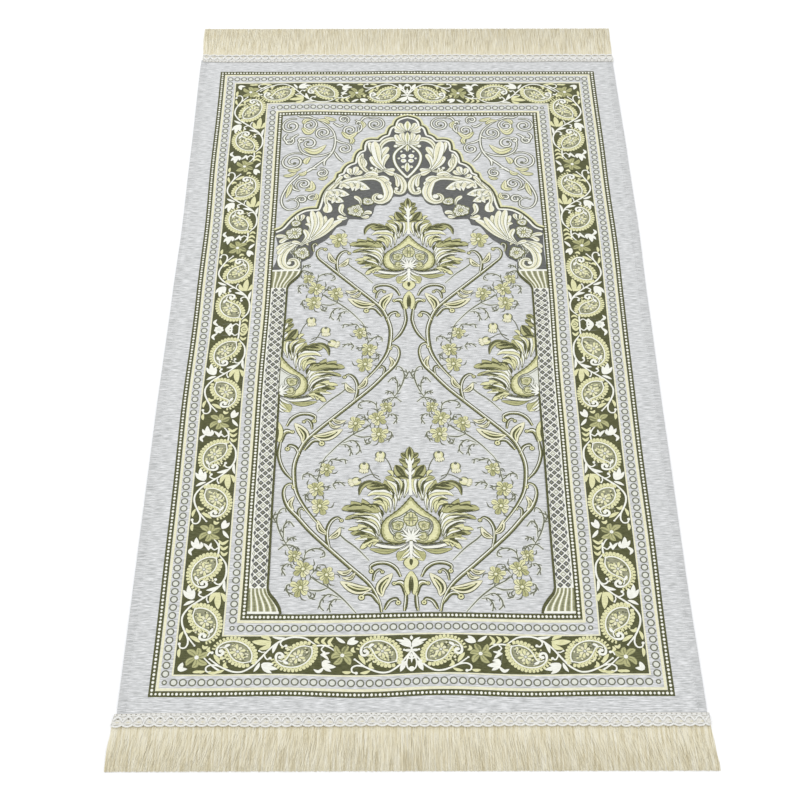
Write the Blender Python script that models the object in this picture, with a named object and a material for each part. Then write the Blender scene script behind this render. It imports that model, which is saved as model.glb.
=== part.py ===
"""Prayer rug: a flat woven cloth with a hem down each long side, and at each end a fringe sewn on under
a gimp heading of two wavy cords. Metres, +Z up. X runs across the rug and +Y towards the end that the
woven niche points to. The rug lies face up on z = 0, with the middle of its bounding box at x = 0, y = 0."""

import math
import random

import bmesh
import bpy

# The cloth: its cut width, and the length that shows between the two headings.
CLOTH_WIDTH = 0.650
SHOWN_LENGTH = 1.100
UNDER_HEADING = 0.006
CLOTH_THICKNESS = 0.0022
HEM_WIDTH = 0.010
HEM_RISE = 0.0010
HEM_STEP = 0.0010
GAP = 0.0003

# The gimp heading, laid on the cloth's end and over the fringe's roots.
HEADING_WIDTH = 0.018
HEADING_HEIGHT = 0.0024
HEADING_EDGE_HEIGHT = 0.0010
HEADING_VALLEY_HEIGHT = 0.0016
SCALLOP_PITCH = 0.012
SCALLOP_DEPTH = 0.0015
CORD_INSET = 0.0042

# The fringe: locks of yarn whose roots are fused into a narrow strip past the cloth's end.
LOCKS_PER_END = 104
STRIP_DEPTH = 0.0042
STRIP_HEIGHT = 0.0019
LOCK_SHARE = 0.76
LOCK_TIP_WIDTH = 0.0020
LOCK_TIP_HEIGHT = 0.0009
LOCK_TOP_SHARE = 0.6
LOCK_STEPS = 3
COMB_WAVES = 5.0
COMB_SWAY = 0.0022
LOCK_SHORTEST = 0.955
YARN_SEED = 11

# Each end's trimming: which way it points, where its heading starts and stops across the rug, how far the
# skirt of the fringe shows past the heading, and how much it spreads sideways at its tips, left and right.
ENDS = (
    {"name": "near", "sign": -1, "left": -0.331, "right": 0.328, "skirt": 0.049, "splay": (0.000, 0.003)},
    {"name": "far", "sign": 1, "left": -0.325, "right": 0.327, "skirt": 0.068, "splay": (0.001, 0.000)},
)

# How far each long edge strays from straight, to +X, at stations along the rug.
EDGE_STRAY = (
    {"y": -0.556, "left": 0.0000, "right": 0.0000},
    {"y": -0.400, "left": 0.0002, "right": -0.0014},
    {"y": -0.150, "left": 0.0004, "right": -0.0006},
    {"y": 0.060, "left": 0.0020, "right": 0.0008},
    {"y": 0.190, "left": 0.0034, "right": 0.0025},
    {"y": 0.330, "left": 0.0022, "right": 0.0018},
    {"y": 0.556, "left": 0.0000, "right": 0.0000},
)

# Low swells where the cloth doesn't lie quite flat: centre, reach along X and Y, and height.
SWELLS = (
    {"x": 0.030, "y": -0.440, "reach_x": 0.170, "reach_y": 0.105, "height": 0.0032},
    {"x": -0.150, "y": 0.450, "reach_x": 0.130, "reach_y": 0.095, "height": 0.0028},
    {"x": 0.180, "y": 0.180, "reach_x": 0.130, "reach_y": 0.160, "height": 0.0026},
    {"x": -0.180, "y": 0.120, "reach_x": 0.130, "reach_y": 0.170, "height": 0.0024},
    {"x": 0.050, "y": -0.130, "reach_x": 0.190, "reach_y": 0.150, "height": 0.0020},
)
CLOTH_CELLS_ACROSS = 18
CLOTH_CELLS_ALONG = 28

HALF_SHOWN = SHOWN_LENGTH / 2
CLOTH_END = HALF_SHOWN + UNDER_HEADING
HEADING_END = HALF_SHOWN + HEADING_WIDTH
REACH = {end["name"]: HEADING_END + end["skirt"] for end in ENDS}
CLOTH_CENTRE_Y = (REACH["near"] - REACH["far"]) / 2


def smooth(t):
    """0 to 1 with level ends."""
    t = min(max(t, 0.0), 1.0)
    return t * t * (3 - 2 * t)


def stray(y, side):
    """How far the edge on that side strays to +X at y, read smoothly from EDGE_STRAY."""
    for low, high in zip(EDGE_STRAY, EDGE_STRAY[1:]):
        if y <= high["y"]:
            t = smooth((y - low["y"]) / (high["y"] - low["y"]))
            return low[side] * (1 - t) + high[side] * t
    return EDGE_STRAY[-1][side]


def lift(x, y):
    """Height of the cloth's underside above the floor."""
    total = 0.0
    for swell in SWELLS:
        r = math.hypot((x - swell["x"]) / swell["reach_x"], (y - swell["y"]) / swell["reach_y"])
        total += swell["height"] * smooth(1 - r)
    return total


def material(name, colour, roughness):
    made = bpy.data.materials.new(name)
    made.use_nodes = True
    shader = made.node_tree.nodes["Principled BSDF"]
    shader.inputs["Base Color"].default_value = (*colour, 1)
    shader.inputs["Roughness"].default_value = roughness
    shader.inputs["Metallic"].default_value = 0
    return made


def placed(name, mesh, parent, finish):
    """A mesh as an object of the rug."""
    mesh.materials.append(finish)
    made = bpy.data.objects.new(name, mesh)
    bpy.context.scene.collection.objects.link(made)
    made.parent = parent
    return made


def mesh_of(name, points, faces):
    """A closed mesh from points and faces, with its normals outwards."""
    made = bmesh.new()
    vertices = [made.verts.new(point) for point in points]
    for face in faces:
        made.faces.new([vertices[i] for i in face])
    bmesh.ops.recalc_face_normals(made, faces=made.faces)
    mesh = bpy.data.meshes.new(name)
    made.to_mesh(mesh)
    made.free()
    return mesh


def cloth_columns():
    """Places across the cloth, and how much of the hem's rise each has."""
    half = CLOTH_WIDTH / 2
    inner = half - HEM_WIDTH - HEM_STEP
    between = [inner * (2 * i / CLOTH_CELLS_ACROSS - 1) for i in range(CLOTH_CELLS_ACROSS + 1)]
    left = [(-half, 1), (-half + HEM_WIDTH, 1)]
    right = [(half - HEM_WIDTH, 1), (half, 1)]
    return left + [(x, 0) for x in between] + right


def cloth_rows():
    """Places along the cloth, and how much of the hem's rise each has: the heading presses the hem flat."""
    pressed = HALF_SHOWN - 0.001
    risen = pressed - HEM_STEP
    between = [risen * (2 * i / CLOTH_CELLS_ALONG - 1) for i in range(CLOTH_CELLS_ALONG + 1)]
    near = [(-CLOTH_END, 0), (-pressed, 0)]
    far = [(pressed, 0), (CLOTH_END, 0)]
    return near + [(y, 1) for y in between] + far


def cloth_mesh():
    """The cloth as one thin sheet, with its uneven long edges, hems and swells."""
    columns, rows = cloth_columns(), cloth_rows()
    points = []
    for top in (0, 1):
        for y, free in rows:
            for x, hemmed in columns:
                side = "left" if x < 0 else "right"
                pull = abs(x) / (CLOTH_WIDTH / 2)
                z = lift(x, y) + top * (CLOTH_THICKNESS + HEM_RISE * hemmed * free)
                points.append((x + stray(y, side) * pull, y, z))
    wide, long = len(columns), len(rows)

    def at(i, j, top):
        return (top * long + j) * wide + i

    faces = []
    for j in range(long - 1):
        for i in range(wide - 1):
            for top in (0, 1):
                faces.append([at(i, j, top), at(i + 1, j, top), at(i + 1, j + 1, top), at(i, j + 1, top)])
    for i in range(wide - 1):
        for j in (0, long - 1):
            faces.append([at(i, j, 0), at(i + 1, j, 0), at(i + 1, j, 1), at(i, j, 1)])
    for j in range(long - 1):
        for i in (0, wide - 1):
            faces.append([at(i, j, 0), at(i, j + 1, 0), at(i, j + 1, 1), at(i, j, 1)])
    return mesh_of("rug_cloth", points, faces)


def heading_mesh(end):
    """A gimp heading: a flat band with a wavy cord raised along each edge, the waves mirroring each other."""
    base = CLOTH_THICKNESS + GAP
    middle = HALF_SHOWN + HEADING_WIDTH / 2
    half = HEADING_WIDTH / 2
    quarters = round((end["right"] - end["left"]) / SCALLOP_PITCH * 4)
    step = (end["right"] - end["left"]) / quarters
    points = []
    for k in range(quarters + 1):
        x = end["left"] + k * step
        wave = SCALLOP_DEPTH * (1 if k % 4 in (0, 1) else -1)
        edge = half - SCALLOP_DEPTH + wave
        ridge = half - CORD_INSET + wave
        section = (
            (-edge, 0),
            (-edge, HEADING_EDGE_HEIGHT),
            (-ridge, HEADING_HEIGHT),
            (0, HEADING_VALLEY_HEIGHT),
            (ridge, HEADING_HEIGHT),
            (edge, HEADING_EDGE_HEIGHT),
            (edge, 0),
        )
        points += [(x, end["sign"] * (middle + across), base + height) for across, height in section]
    round_it = len(section)
    faces = []
    for k in range(quarters):
        for i in range(round_it):
            after = (i + 1) % round_it
            a, b = k * round_it, (k + 1) * round_it
            faces.append([a + i, a + after, b + after, b + i])
    faces.append(list(range(round_it)))
    faces.append([quarters * round_it + i for i in range(round_it)])
    return mesh_of("heading_" + end["name"], points, faces)


def lock_sections(end, index, yarn):
    """The sections of one lock from its root out to its tip: two bottom and two top corners at each."""
    span = end["right"] - end["left"]
    root_width = span * LOCK_SHARE / LOCKS_PER_END
    pitch = (span - root_width) / (LOCKS_PER_END - 1)
    left = end["left"] + index * pitch
    root_x = left + root_width / 2
    root_y = CLOTH_END + GAP + STRIP_DEPTH
    share = index / (LOCKS_PER_END - 1)
    splay = -end["splay"][0] * (1 - share) + end["splay"][1] * share
    sway = COMB_SWAY * math.sin(2 * math.pi * COMB_WAVES * share) * math.sin(math.pi * share)
    longest = index % 7 == 0 or index == LOCKS_PER_END - 1
    length = (REACH[end["name"]] - root_y) * (1 if longest else yarn.uniform(LOCK_SHORTEST, 1))
    sections = []
    for step in range(1, LOCK_STEPS + 1):
        t = step / LOCK_STEPS
        width = root_width * (1 - t) + LOCK_TIP_WIDTH * t
        height = STRIP_HEIGHT * (1 - t) + LOCK_TIP_HEIGHT * t
        # The outermost locks keep their outer side on the fringe's own edge.
        if index == 0:
            x = left + splay * t + width / 2
        elif index == LOCKS_PER_END - 1:
            x = left + root_width + splay * t - width / 2
        else:
            x = root_x + splay * t + sway * smooth(t)
        y = end["sign"] * (root_y + length * t)
        top = width * LOCK_TOP_SHARE
        sections.append(
            [(x - width / 2, y, 0), (x + width / 2, y, 0), (x + top / 2, y, height), (x - top / 2, y, height)]
        )
    return left, left + root_width, sections


def box_end(left, right, y):
    """The four corners of an upright face of the strip, between two places across the rug."""
    return [(left, y, 0), (right, y, 0), (right, y, STRIP_HEIGHT), (left, y, STRIP_HEIGHT)]


def fringe_mesh(end):
    """A comb of locks that lie on the floor, standing apart but for their roots in the strip."""
    yarn = random.Random(YARN_SEED + end["sign"])
    back_y = end["sign"] * (CLOTH_END + GAP)
    front_y = end["sign"] * (CLOTH_END + GAP + STRIP_DEPTH)
    points, faces = [], []
    roots = []
    for index in range(LOCKS_PER_END):
        left, right, sections = lock_sections(end, index, yarn)
        first = len(points)
        points += box_end(left, right, front_y)
        for section in sections:
            points += section
        for step in range(LOCK_STEPS):
            a, b = first + 4 * step, first + 4 * (step + 1)
            for i in range(4):
                after = (i + 1) % 4
                faces.append([a + i, a + after, b + after, b + i])
        tip = first + 4 * LOCK_STEPS
        faces.append([tip, tip + 1, tip + 2, tip + 3])
        roots.append(first)
    for this, following in zip(roots, roots[1:]):
        faces.append([this + 1, following, following + 3, this + 2])
    back = len(points)
    first_x = points[roots[0]][0]
    last_x = points[roots[-1] + 1][0]
    points += box_end(first_x, last_x, back_y)
    faces.append([back, back + 1, back + 2, back + 3])
    faces.append([back, back + 3, roots[0] + 3, roots[0]])
    faces.append([back + 1, back + 2, roots[-1] + 2, roots[-1] + 1])
    faces.append([back, back + 1] + [i for root in reversed(roots) for i in (root + 1, root)])
    faces.append([back + 3, back + 2] + [i for root in reversed(roots) for i in (root + 2, root + 3)])
    return mesh_of("fringe_" + end["name"], points, faces)


for old in list(bpy.data.objects):
    bpy.data.objects.remove(old)

rug = bpy.data.objects.new("rug", None)
rug.location = (0, CLOTH_CENTRE_Y, 0)
bpy.context.scene.collection.objects.link(rug)

woven = material("silver_jacquard", (0.62, 0.64, 0.66), 0.75)
gimp = material("ivory_gimp", (0.80, 0.79, 0.74), 0.7)
yarn_finish = material("cream_fringe", (0.70, 0.63, 0.46), 0.65)

placed("rug_cloth", cloth_mesh(), rug, woven)
for end in ENDS:
    placed("heading_" + end["name"], heading_mesh(end), rug, gimp)
    placed("fringe_" + end["name"], fringe_mesh(end), rug, yarn_finish)
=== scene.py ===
"""A prayer rug of silver jacquard, laid out face up on a pale floor.

The woven design is measured in millimetres from the middle of the cloth: x across, y towards the end that
the niche points to. on_cloth() turns such a point into the frame's metres, up on the cloth's own swells.
"""

import math
import random

import bpy
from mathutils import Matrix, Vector, geometry


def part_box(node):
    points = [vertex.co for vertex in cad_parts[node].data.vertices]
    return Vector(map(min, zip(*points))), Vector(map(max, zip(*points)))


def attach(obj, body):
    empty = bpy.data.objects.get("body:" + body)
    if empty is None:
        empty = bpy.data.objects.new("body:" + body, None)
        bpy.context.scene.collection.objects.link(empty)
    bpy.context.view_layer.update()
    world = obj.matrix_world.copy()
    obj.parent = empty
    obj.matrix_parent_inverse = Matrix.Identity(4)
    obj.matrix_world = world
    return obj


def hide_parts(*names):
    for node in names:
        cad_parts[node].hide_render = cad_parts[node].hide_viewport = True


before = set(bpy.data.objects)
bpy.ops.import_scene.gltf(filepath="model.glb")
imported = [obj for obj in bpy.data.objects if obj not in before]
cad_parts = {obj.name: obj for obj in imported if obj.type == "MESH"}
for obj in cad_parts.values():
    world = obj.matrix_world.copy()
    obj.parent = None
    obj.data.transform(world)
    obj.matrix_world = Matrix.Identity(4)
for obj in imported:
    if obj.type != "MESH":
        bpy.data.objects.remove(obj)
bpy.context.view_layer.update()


# ---- Cloth -------------------------------------------------------------------------------------------
# One panel of jacquard with a silver-grey ground, woven in one piece with its figure. The two long edges are
# turned under and hemmed, and the hem band is painted a little darker as painted shade. The ends are raw, and
# lie under the headings.

MM = 0.001
CLOTH_WIDE = 650.0
SHOWN_LONG = 1100.0
UNDER_HEADING = 6.0
CLOTH_THICK = 2.2
HEM_WIDE = 10.0
HEM_RISE = 0.9
HEM_SLOPE = 2.5
EDGE_ROUND = 0.8
HEM_PRESSED = 4.0
CLOTH_CELL = 7.5
WEFT_PITCH = 0.0007
WARP_PITCH = 0.0009
SILVER = (0.602, 0.608, 0.603)
SILVER_SHADE = (0.400, 0.406, 0.400)
SILVER_SLUB = (0.850, 0.850, 0.850)
SILVER_CAST = {"contrast": 1.15, "slub_length": 0.012, "slub_width": 0.0012}
# Painted shade: how much darker the hem band is painted than the silver ground.
HEM_PAINTED_SHADE = 0.93
BAKE_MARGIN = 0.01

cloth_low, cloth_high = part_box("rug_cloth")
CLOTH_MIDDLE_Y = (cloth_low[1] + cloth_high[1]) / 2

# How far each long edge strays from straight, to +x.
EDGE_STRAY = (
    {"y": -556, "left": 0, "right": 0},
    {"y": -400, "left": 0.2, "right": -1.4},
    {"y": -150, "left": 0.4, "right": -0.6},
    {"y": 60, "left": 2, "right": 0.8},
    {"y": 190, "left": 3.4, "right": 2.5},
    {"y": 330, "left": 2.2, "right": 1.8},
    {"y": 556, "left": 0, "right": 0},
)

# Low swells where the cloth doesn't lie quite flat.
SWELLS = (
    {"x": 30, "y": -440, "reach_x": 170, "reach_y": 105, "height": 3.2},
    {"x": -150, "y": 450, "reach_x": 130, "reach_y": 95, "height": 2.8},
    {"x": 180, "y": 180, "reach_x": 130, "reach_y": 160, "height": 2.6},
    {"x": -180, "y": 120, "reach_x": 130, "reach_y": 170, "height": 2.4},
    {"x": 50, "y": -130, "reach_x": 190, "reach_y": 150, "height": 2},
)


def smooth(t):
    """0 to 1 with level ends."""
    t = min(max(t, 0.0), 1.0)
    return t * t * (3 - 2 * t)


def stray(x, y):
    """How far the cloth is pulled to +x by its uneven long edges."""
    side = "left" if x < 0 else "right"
    pull = EDGE_STRAY[-1][side]
    for low, high in zip(EDGE_STRAY, EDGE_STRAY[1:]):
        if y <= high["y"]:
            t = smooth((y - low["y"]) / (high["y"] - low["y"]))
            pull = low[side] * (1 - t) + high[side] * t
            break
    return pull * abs(x) / (CLOTH_WIDE / 2)


def lift(x, y):
    """Height of the cloth's underside above the floor."""
    total = 0.0
    for swell in SWELLS:
        r = math.hypot((x - swell["x"]) / swell["reach_x"], (y - swell["y"]) / swell["reach_y"])
        total += swell["height"] * smooth(1 - r)
    return total


def in_frame(x, y, z):
    """A point of the laid-out rug, in millimetres, as the frame's metres."""
    return ((x + stray(x, y)) * MM, y * MM + CLOTH_MIDDLE_Y, z * MM)


def put_mesh(name, points, faces, finish, soft=False):
    """A mesh piece of the rug, with the flat map that its bake uses."""
    mesh = bpy.data.meshes.new(name)
    mesh.from_pydata(points, [], faces)
    mesh.materials.append(finish)
    if soft:
        mesh.shade_smooth()
    low_x, low_y = min(p[0] for p in points), min(p[1] for p in points)
    wide, long = max(p[0] for p in points) - low_x, max(p[1] for p in points) - low_y
    flat = mesh.uv_layers.new(name="OFBake")
    corners = [0.0] * (2 * len(mesh.loops))
    for i, loop in enumerate(mesh.loops):
        x, y, _ = points[loop.vertex_index]
        corners[2 * i] = BAKE_MARGIN + (1 - 2 * BAKE_MARGIN) * (x - low_x) / wide
        corners[2 * i + 1] = BAKE_MARGIN + (1 - 2 * BAKE_MARGIN) * (y - low_y) / long
    flat.data.foreach_set("uv", corners)
    piece = bpy.data.objects.new(name, mesh)
    bpy.context.scene.collection.objects.link(piece)
    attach(piece, "root")
    return piece


def cloth_grid():
    """Places across and along the cloth, close together where the hem steps and its edge is round."""
    half = CLOTH_WIDE / 2
    inner = half - HEM_WIDE - HEM_SLOPE
    cells = round(2 * inner / CLOTH_CELL)
    between = [inner * (2 * i / cells - 1) for i in range(cells + 1)]
    edge = [half, half - EDGE_ROUND / 3, half - EDGE_ROUND, half - HEM_WIDE / 2, half - HEM_WIDE]
    edge.append(half - HEM_WIDE - HEM_SLOPE / 2)
    across = [-x for x in edge] + between + edge[::-1]
    end = SHOWN_LONG / 2 + UNDER_HEADING
    cells = round(2 * end / CLOTH_CELL)
    along = [end * (2 * i / cells - 1) for i in range(cells + 1)]
    return across, along


def hem_rise(x, y):
    """How much thicker the cloth is where its hem is turned under, and thinner at its rounded edge."""
    half = CLOTH_WIDE / 2
    inside = half - abs(x)
    pressed = smooth((SHOWN_LONG / 2 - 1 - abs(y)) / HEM_PRESSED)
    rise = HEM_RISE * smooth(1 - (inside - HEM_WIDE) / HEM_SLOPE) * pressed
    if inside < EDGE_ROUND:
        rise -= EDGE_ROUND * (1 - math.sqrt(max(0.0, 1 - (1 - inside / EDGE_ROUND) ** 2)))
    return rise


def closed_faces(wide, long):
    """Faces round a grid of points that is there twice, below and above: both sides, and the edge between."""

    def at(i, j, top):
        return (top * long + j) * wide + i

    faces = []
    for j in range(long - 1):
        for i in range(wide - 1):
            faces.append([at(i, j, 1), at(i + 1, j, 1), at(i + 1, j + 1, 1), at(i, j + 1, 1)])
            faces.append([at(i, j + 1, 0), at(i + 1, j + 1, 0), at(i + 1, j, 0), at(i, j, 0)])
    for i in range(wide - 1):
        faces.append([at(i, 0, 0), at(i + 1, 0, 0), at(i + 1, 0, 1), at(i, 0, 1)])
        faces.append([at(i, long - 1, 1), at(i + 1, long - 1, 1), at(i + 1, long - 1, 0), at(i, long - 1, 0)])
    for j in range(long - 1):
        faces.append([at(0, j, 1), at(0, j + 1, 1), at(0, j + 1, 0), at(0, j, 0)])
        faces.append([at(wide - 1, j, 0), at(wide - 1, j + 1, 0), at(wide - 1, j + 1, 1), at(wide - 1, j, 1)])
    return faces


def cloth_sheet():
    """The cloth as a closed sheet, thicker at its hems."""
    across, along = cloth_grid()
    points = []
    for top in (0, 1):
        for y in along:
            for x in across:
                z = lift(x, y) + top * (CLOTH_THICK + hem_rise(x, y))
                points.append(in_frame(x, y, z))
    return points, closed_faces(len(across), len(along))


def new_group(name, inputs, outputs):
    """An empty shader node group with named value sockets."""
    group = bpy.data.node_groups.new(name, "ShaderNodeTree")
    for socket, value in inputs.items():
        made = group.interface.new_socket(socket, in_out="INPUT", socket_type="NodeSocketFloat")
        made.default_value = value
    for socket in outputs:
        group.interface.new_socket(socket, in_out="OUTPUT", socket_type="NodeSocketFloat")
    return group, group.nodes.new("NodeGroupInput"), group.nodes.new("NodeGroupOutput")


def maths_node(tree, operation, a, b):
    """A maths node fed by two sockets or numbers."""
    node = tree.nodes.new("ShaderNodeMath")
    node.operation = operation
    for socket, value in zip(node.inputs, (a, b)):
        if isinstance(value, (int, float)):
            socket.default_value = value
        else:
            tree.links.new(value, socket)
    return node.outputs[0]


def thread_group():
    """Weft threads: ribs that run across the rug, crossed by finer warp ends, and slubs along the weft."""
    sizes = {"Weft Pitch": WEFT_PITCH, "Warp Pitch": WARP_PITCH, "Slub Length": 0.03, "Slub Width": 0.001}
    group, given, out = new_group("weft_threads", sizes, ["Height", "Slub", "Cast"])
    place = group.nodes.new("ShaderNodeTexCoord")
    apart = group.nodes.new("ShaderNodeSeparateXYZ")
    group.links.new(place.outputs["Object"], apart.inputs[0])
    turns = {}
    for axis, pitch in (("X", "Warp Pitch"), ("Y", "Weft Pitch")):
        turn = maths_node(group, "DIVIDE", apart.outputs[axis], given.outputs[pitch])
        turn = maths_node(group, "MULTIPLY", turn, math.tau)
        turns[axis] = maths_node(group, "SINE", turn, 0)
    crossed = maths_node(group, "MULTIPLY", turns["X"], turns["Y"])
    ribs = maths_node(group, "MULTIPLY_ADD", turns["Y"], 0.6)
    group.links.new(crossed, ribs.node.inputs[2])
    group.links.new(ribs, out.inputs["Height"])
    # Slubs are single thick threads, and the cast is the slower change from one band of weft to the next.
    for socket, stretch in (("Slub", 1.0), ("Cast", 9.0)):
        along = maths_node(group, "DIVIDE", apart.outputs["X"], given.outputs["Slub Length"])
        across = maths_node(group, "DIVIDE", apart.outputs["Y"], given.outputs["Slub Width"])
        across = maths_node(group, "DIVIDE", across, stretch)
        both = group.nodes.new("ShaderNodeCombineXYZ")
        group.links.new(along, both.inputs["X"])
        group.links.new(across, both.inputs["Y"])
        noise = group.nodes.new("ShaderNodeTexNoise")
        noise.inputs["Scale"].default_value = 1.0
        noise.inputs["Detail"].default_value = 3.0
        noise.inputs["Roughness"].default_value = 0.62
        group.links.new(both.outputs[0], noise.inputs["Vector"])
        group.links.new(noise.outputs[0], out.inputs[socket])
    return group


weft_threads = thread_group()


def woven(name, colour, shade, light, contrast=1.0, roughness=0.78, slub_length=0.03, slub_width=0.001):
    """A yarn's finish: its colour, cast darker and lighter thread by thread along the weft."""
    made = bpy.data.materials.new(name)
    made.use_nodes = True
    tree = made.node_tree
    shader = tree.nodes["Principled BSDF"]
    threads = tree.nodes.new("ShaderNodeGroup")
    threads.node_tree = weft_threads
    threads.inputs["Slub Length"].default_value = slub_length
    threads.inputs["Slub Width"].default_value = slub_width
    threads.inputs["Weft Pitch"].default_value = WEFT_PITCH
    threads.inputs["Warp Pitch"].default_value = WARP_PITCH
    ramp = tree.nodes.new("ShaderNodeValToRGB")
    stops = ((0.5 - 0.2 / contrast, shade), (0.5, colour), (0.5 + 0.22 / contrast, light))
    ramp.color_ramp.elements.new(0.5)
    for element, (place, tone) in zip(ramp.color_ramp.elements, stops):
        element.position = place
        element.color = (*tone, 1)
    cast = tree.nodes.new("ShaderNodeMix")
    cast.data_type = "RGBA"
    cast.blend_type = "MULTIPLY"
    cast.inputs["Factor"].default_value = 0.35
    tree.links.new(threads.outputs["Slub"], ramp.inputs[0])
    tree.links.new(ramp.outputs[0], cast.inputs["A"])
    lighter = tree.nodes.new("ShaderNodeMapRange")
    lighter.inputs["From Min"].default_value = 0.25
    lighter.inputs["From Max"].default_value = 0.75
    lighter.inputs["To Min"].default_value = 0.82
    lighter.inputs["To Max"].default_value = 1.06
    tree.links.new(threads.outputs["Cast"], lighter.inputs["Value"])
    tree.links.new(lighter.outputs[0], cast.inputs["B"])
    tree.links.new(cast.outputs["Result"], shader.inputs["Base Color"])
    bump = tree.nodes.new("ShaderNodeBump")
    bump.inputs["Strength"].default_value = 0.35
    bump.inputs["Distance"].default_value = 0.00015
    tree.links.new(threads.outputs["Height"], bump.inputs["Height"])
    tree.links.new(bump.outputs[0], shader.inputs["Normal"])
    shader.inputs["Roughness"].default_value = roughness
    shader.inputs["Specular IOR Level"].default_value = 0.25
    shader.inputs["Sheen Weight"].default_value = 0.15
    shader.inputs["Sheen Roughness"].default_value = 0.4
    return made


silver_tones = (SILVER, SILVER_SHADE, SILVER_SLUB)
# The hem band's tones are the ground's own, darkened as painted shade.
hem_painted_shade_tones = [[HEM_PAINTED_SHADE * part for part in tone] for tone in silver_tones]
silver_finish = woven("silver_weft", *silver_tones, **SILVER_CAST)
silver_hem_painted_shade = woven("silver_hem_painted_shade", *hem_painted_shade_tones, **SILVER_CAST)
cloth = put_mesh("cloth", *cloth_sheet(), silver_finish, soft=True)
cloth.data.materials.append(silver_hem_painted_shade)
# Faces over the hem band take the painted shade finish.
for face in cloth.data.polygons:
    if abs(face.center.x) > (CLOTH_WIDE / 2 - HEM_WIDE) * MM:
        face.material_index = 1
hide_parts("rug_cloth")


# ---- Border stripes ----------------------------------------------------------------------------------
# From the outside in: a dark guard with a row of beads, a pale stripe, a row of rings, the main border's
# dark ground, and then rings, stripe and guard again. All are floats of coloured yarn on the silver ground.

# A float's level is how many steps it lies above the ground, so that a higher one covers a lower one.
YARN_STEP = 0.07
YARN_CROWN = 0.05
FLOAT_CELL = 8.0
BEAD_PITCH = 4.7
SMALL_BEAD = 0.82
RING_PITCH = 10.4
RING_RADIUS = 3.9
RING_LINE = 1.45
RING_EYE = 3.1
CORNER_DOT = 3.2
CORNER_EYE = 1.7
# The main border's ground is a little narrower at the ends.
GROUND_WIDE = 50.2
END_BAND_SHARE = 0.94

# Each stripe runs round the rug: its middle at the sides, the near end and the far end, and its width.
STRIPES = (
    {"yarn": "olive", "side": 289, "near": -527.3, "far": 525, "wide": 7.2},
    {"yarn": "cream", "side": 283.4, "near": -521.9, "far": 519.6, "wide": 3.2},
    {"yarn": "cream", "side": 268, "near": -504.6, "far": 501.4, "wide": 1.7},
    {"yarn": "olive", "side": 241.8, "near": -480, "far": 476.4, "wide": GROUND_WIDE},
    {"yarn": "cream", "side": 215.6, "near": -455.4, "far": 451.2, "wide": 1.7},
    {"yarn": "cream", "side": 199.2, "near": -437.6, "far": 433.6, "wide": 3.4},
    {"yarn": "olive", "side": 193.8, "near": -431.6, "far": 428, "wide": 7.6},
)
BEAD_ROWS = (
    {"side": 289, "near": -527.3, "far": 525, "radius": 1.65},
    {"side": 193.8, "near": -431.6, "far": 428, "radius": 1.75},
)
RING_ROWS = (
    {"side": 276.2, "near": -513.4, "far": 510.8},
    {"side": 206, "near": -446, "far": 442.4},
)

figure = {}


def drift(x, y):
    """How far the woven design wanders from its plan, as the loom and the laid-out cloth pull it."""
    # A wave along the near end, and a bow at the far one.
    near = math.exp(-(((y + 520) / 60) ** 2)) * math.exp(-((x / 170) ** 2))
    along = near * 1.9 * math.sin(math.tau * (x + 10) / 205)
    along += math.exp(-(((y - 520) / 50) ** 2)) * (1.6 * math.exp(-(((x + 5) / 60) ** 2)) - 0.8)
    # The right border's middle lies farther from the near end, and the left border's far half nearer to it.
    along += 8.5 * smooth(1 - abs(y) / 62) * smooth((x - 150) / 50)
    along -= 4.0 * smooth((y - 60) / 100) * smooth((450 - y) / 60) * smooth((-x - 150) / 50)
    # A slow wander everywhere.
    along += 0.5 * math.sin(x / 47 + 1.3) * math.sin(y / 83)
    across = 0.5 * math.sin(y / 71 + 0.4) + 0.3 * math.sin(x / 59 - y / 37)
    return across, along


def on_cloth(x, y, above):
    """A point of the woven design, that far above the cloth's face, as the frame's metres."""
    across, along = drift(x, y)
    x, y = x + across, y + along
    return in_frame(x, y, lift(x, y) + CLOTH_THICK + above)


def weave(yarn, points, faces):
    """Adds a shape to a yarn's figure. points are (x, y, height above the face); faces turn up."""
    all_points, all_faces = figure.setdefault(yarn, ([], []))
    first = len(all_points)
    all_points += [on_cloth(*point) for point in points]
    for face in faces:
        a, b, c = (points[i] for i in face[:3])
        turned = (b[0] - a[0]) * (c[1] - a[1]) - (b[1] - a[1]) * (c[0] - a[0])
        ordered = face if turned > 0 else face[::-1]
        all_faces.append([first + i for i in ordered])


def plain(x, y):
    """The rug's own millimetres."""
    return x, y


def block(yarn, level, x0, x1, y0, y1):
    """A rectangle of one yarn, in cells small enough to follow the swells."""
    across = max(1, math.ceil(abs(x1 - x0) / FLOAT_CELL))
    along = max(1, math.ceil(abs(y1 - y0) / FLOAT_CELL))
    points = []
    for j in range(along + 1):
        for i in range(across + 1):
            points.append((x0 + (x1 - x0) * i / across, y0 + (y1 - y0) * j / along, level * YARN_STEP))
    faces = []
    for j in range(along):
        for i in range(across):
            a = j * (across + 1) + i
            faces.append([a, a + 1, a + across + 2, a + across + 1])
    weave(yarn, points, faces)


def disc(at, yarn, level, x, y, radius, sides=8, tall=1.0):
    """A small round or oval float with a crown."""
    points = [(*at(x, y), level * YARN_STEP + YARN_CROWN)]
    for i in range(sides):
        turn = math.tau * (i + 0.5) / sides
        spot = at(x + radius * math.cos(turn), y + radius * tall * math.sin(turn))
        points.append((*spot, level * YARN_STEP))
    weave(yarn, points, [[0, 1 + i, 1 + (i + 1) % sides] for i in range(sides)])


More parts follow.
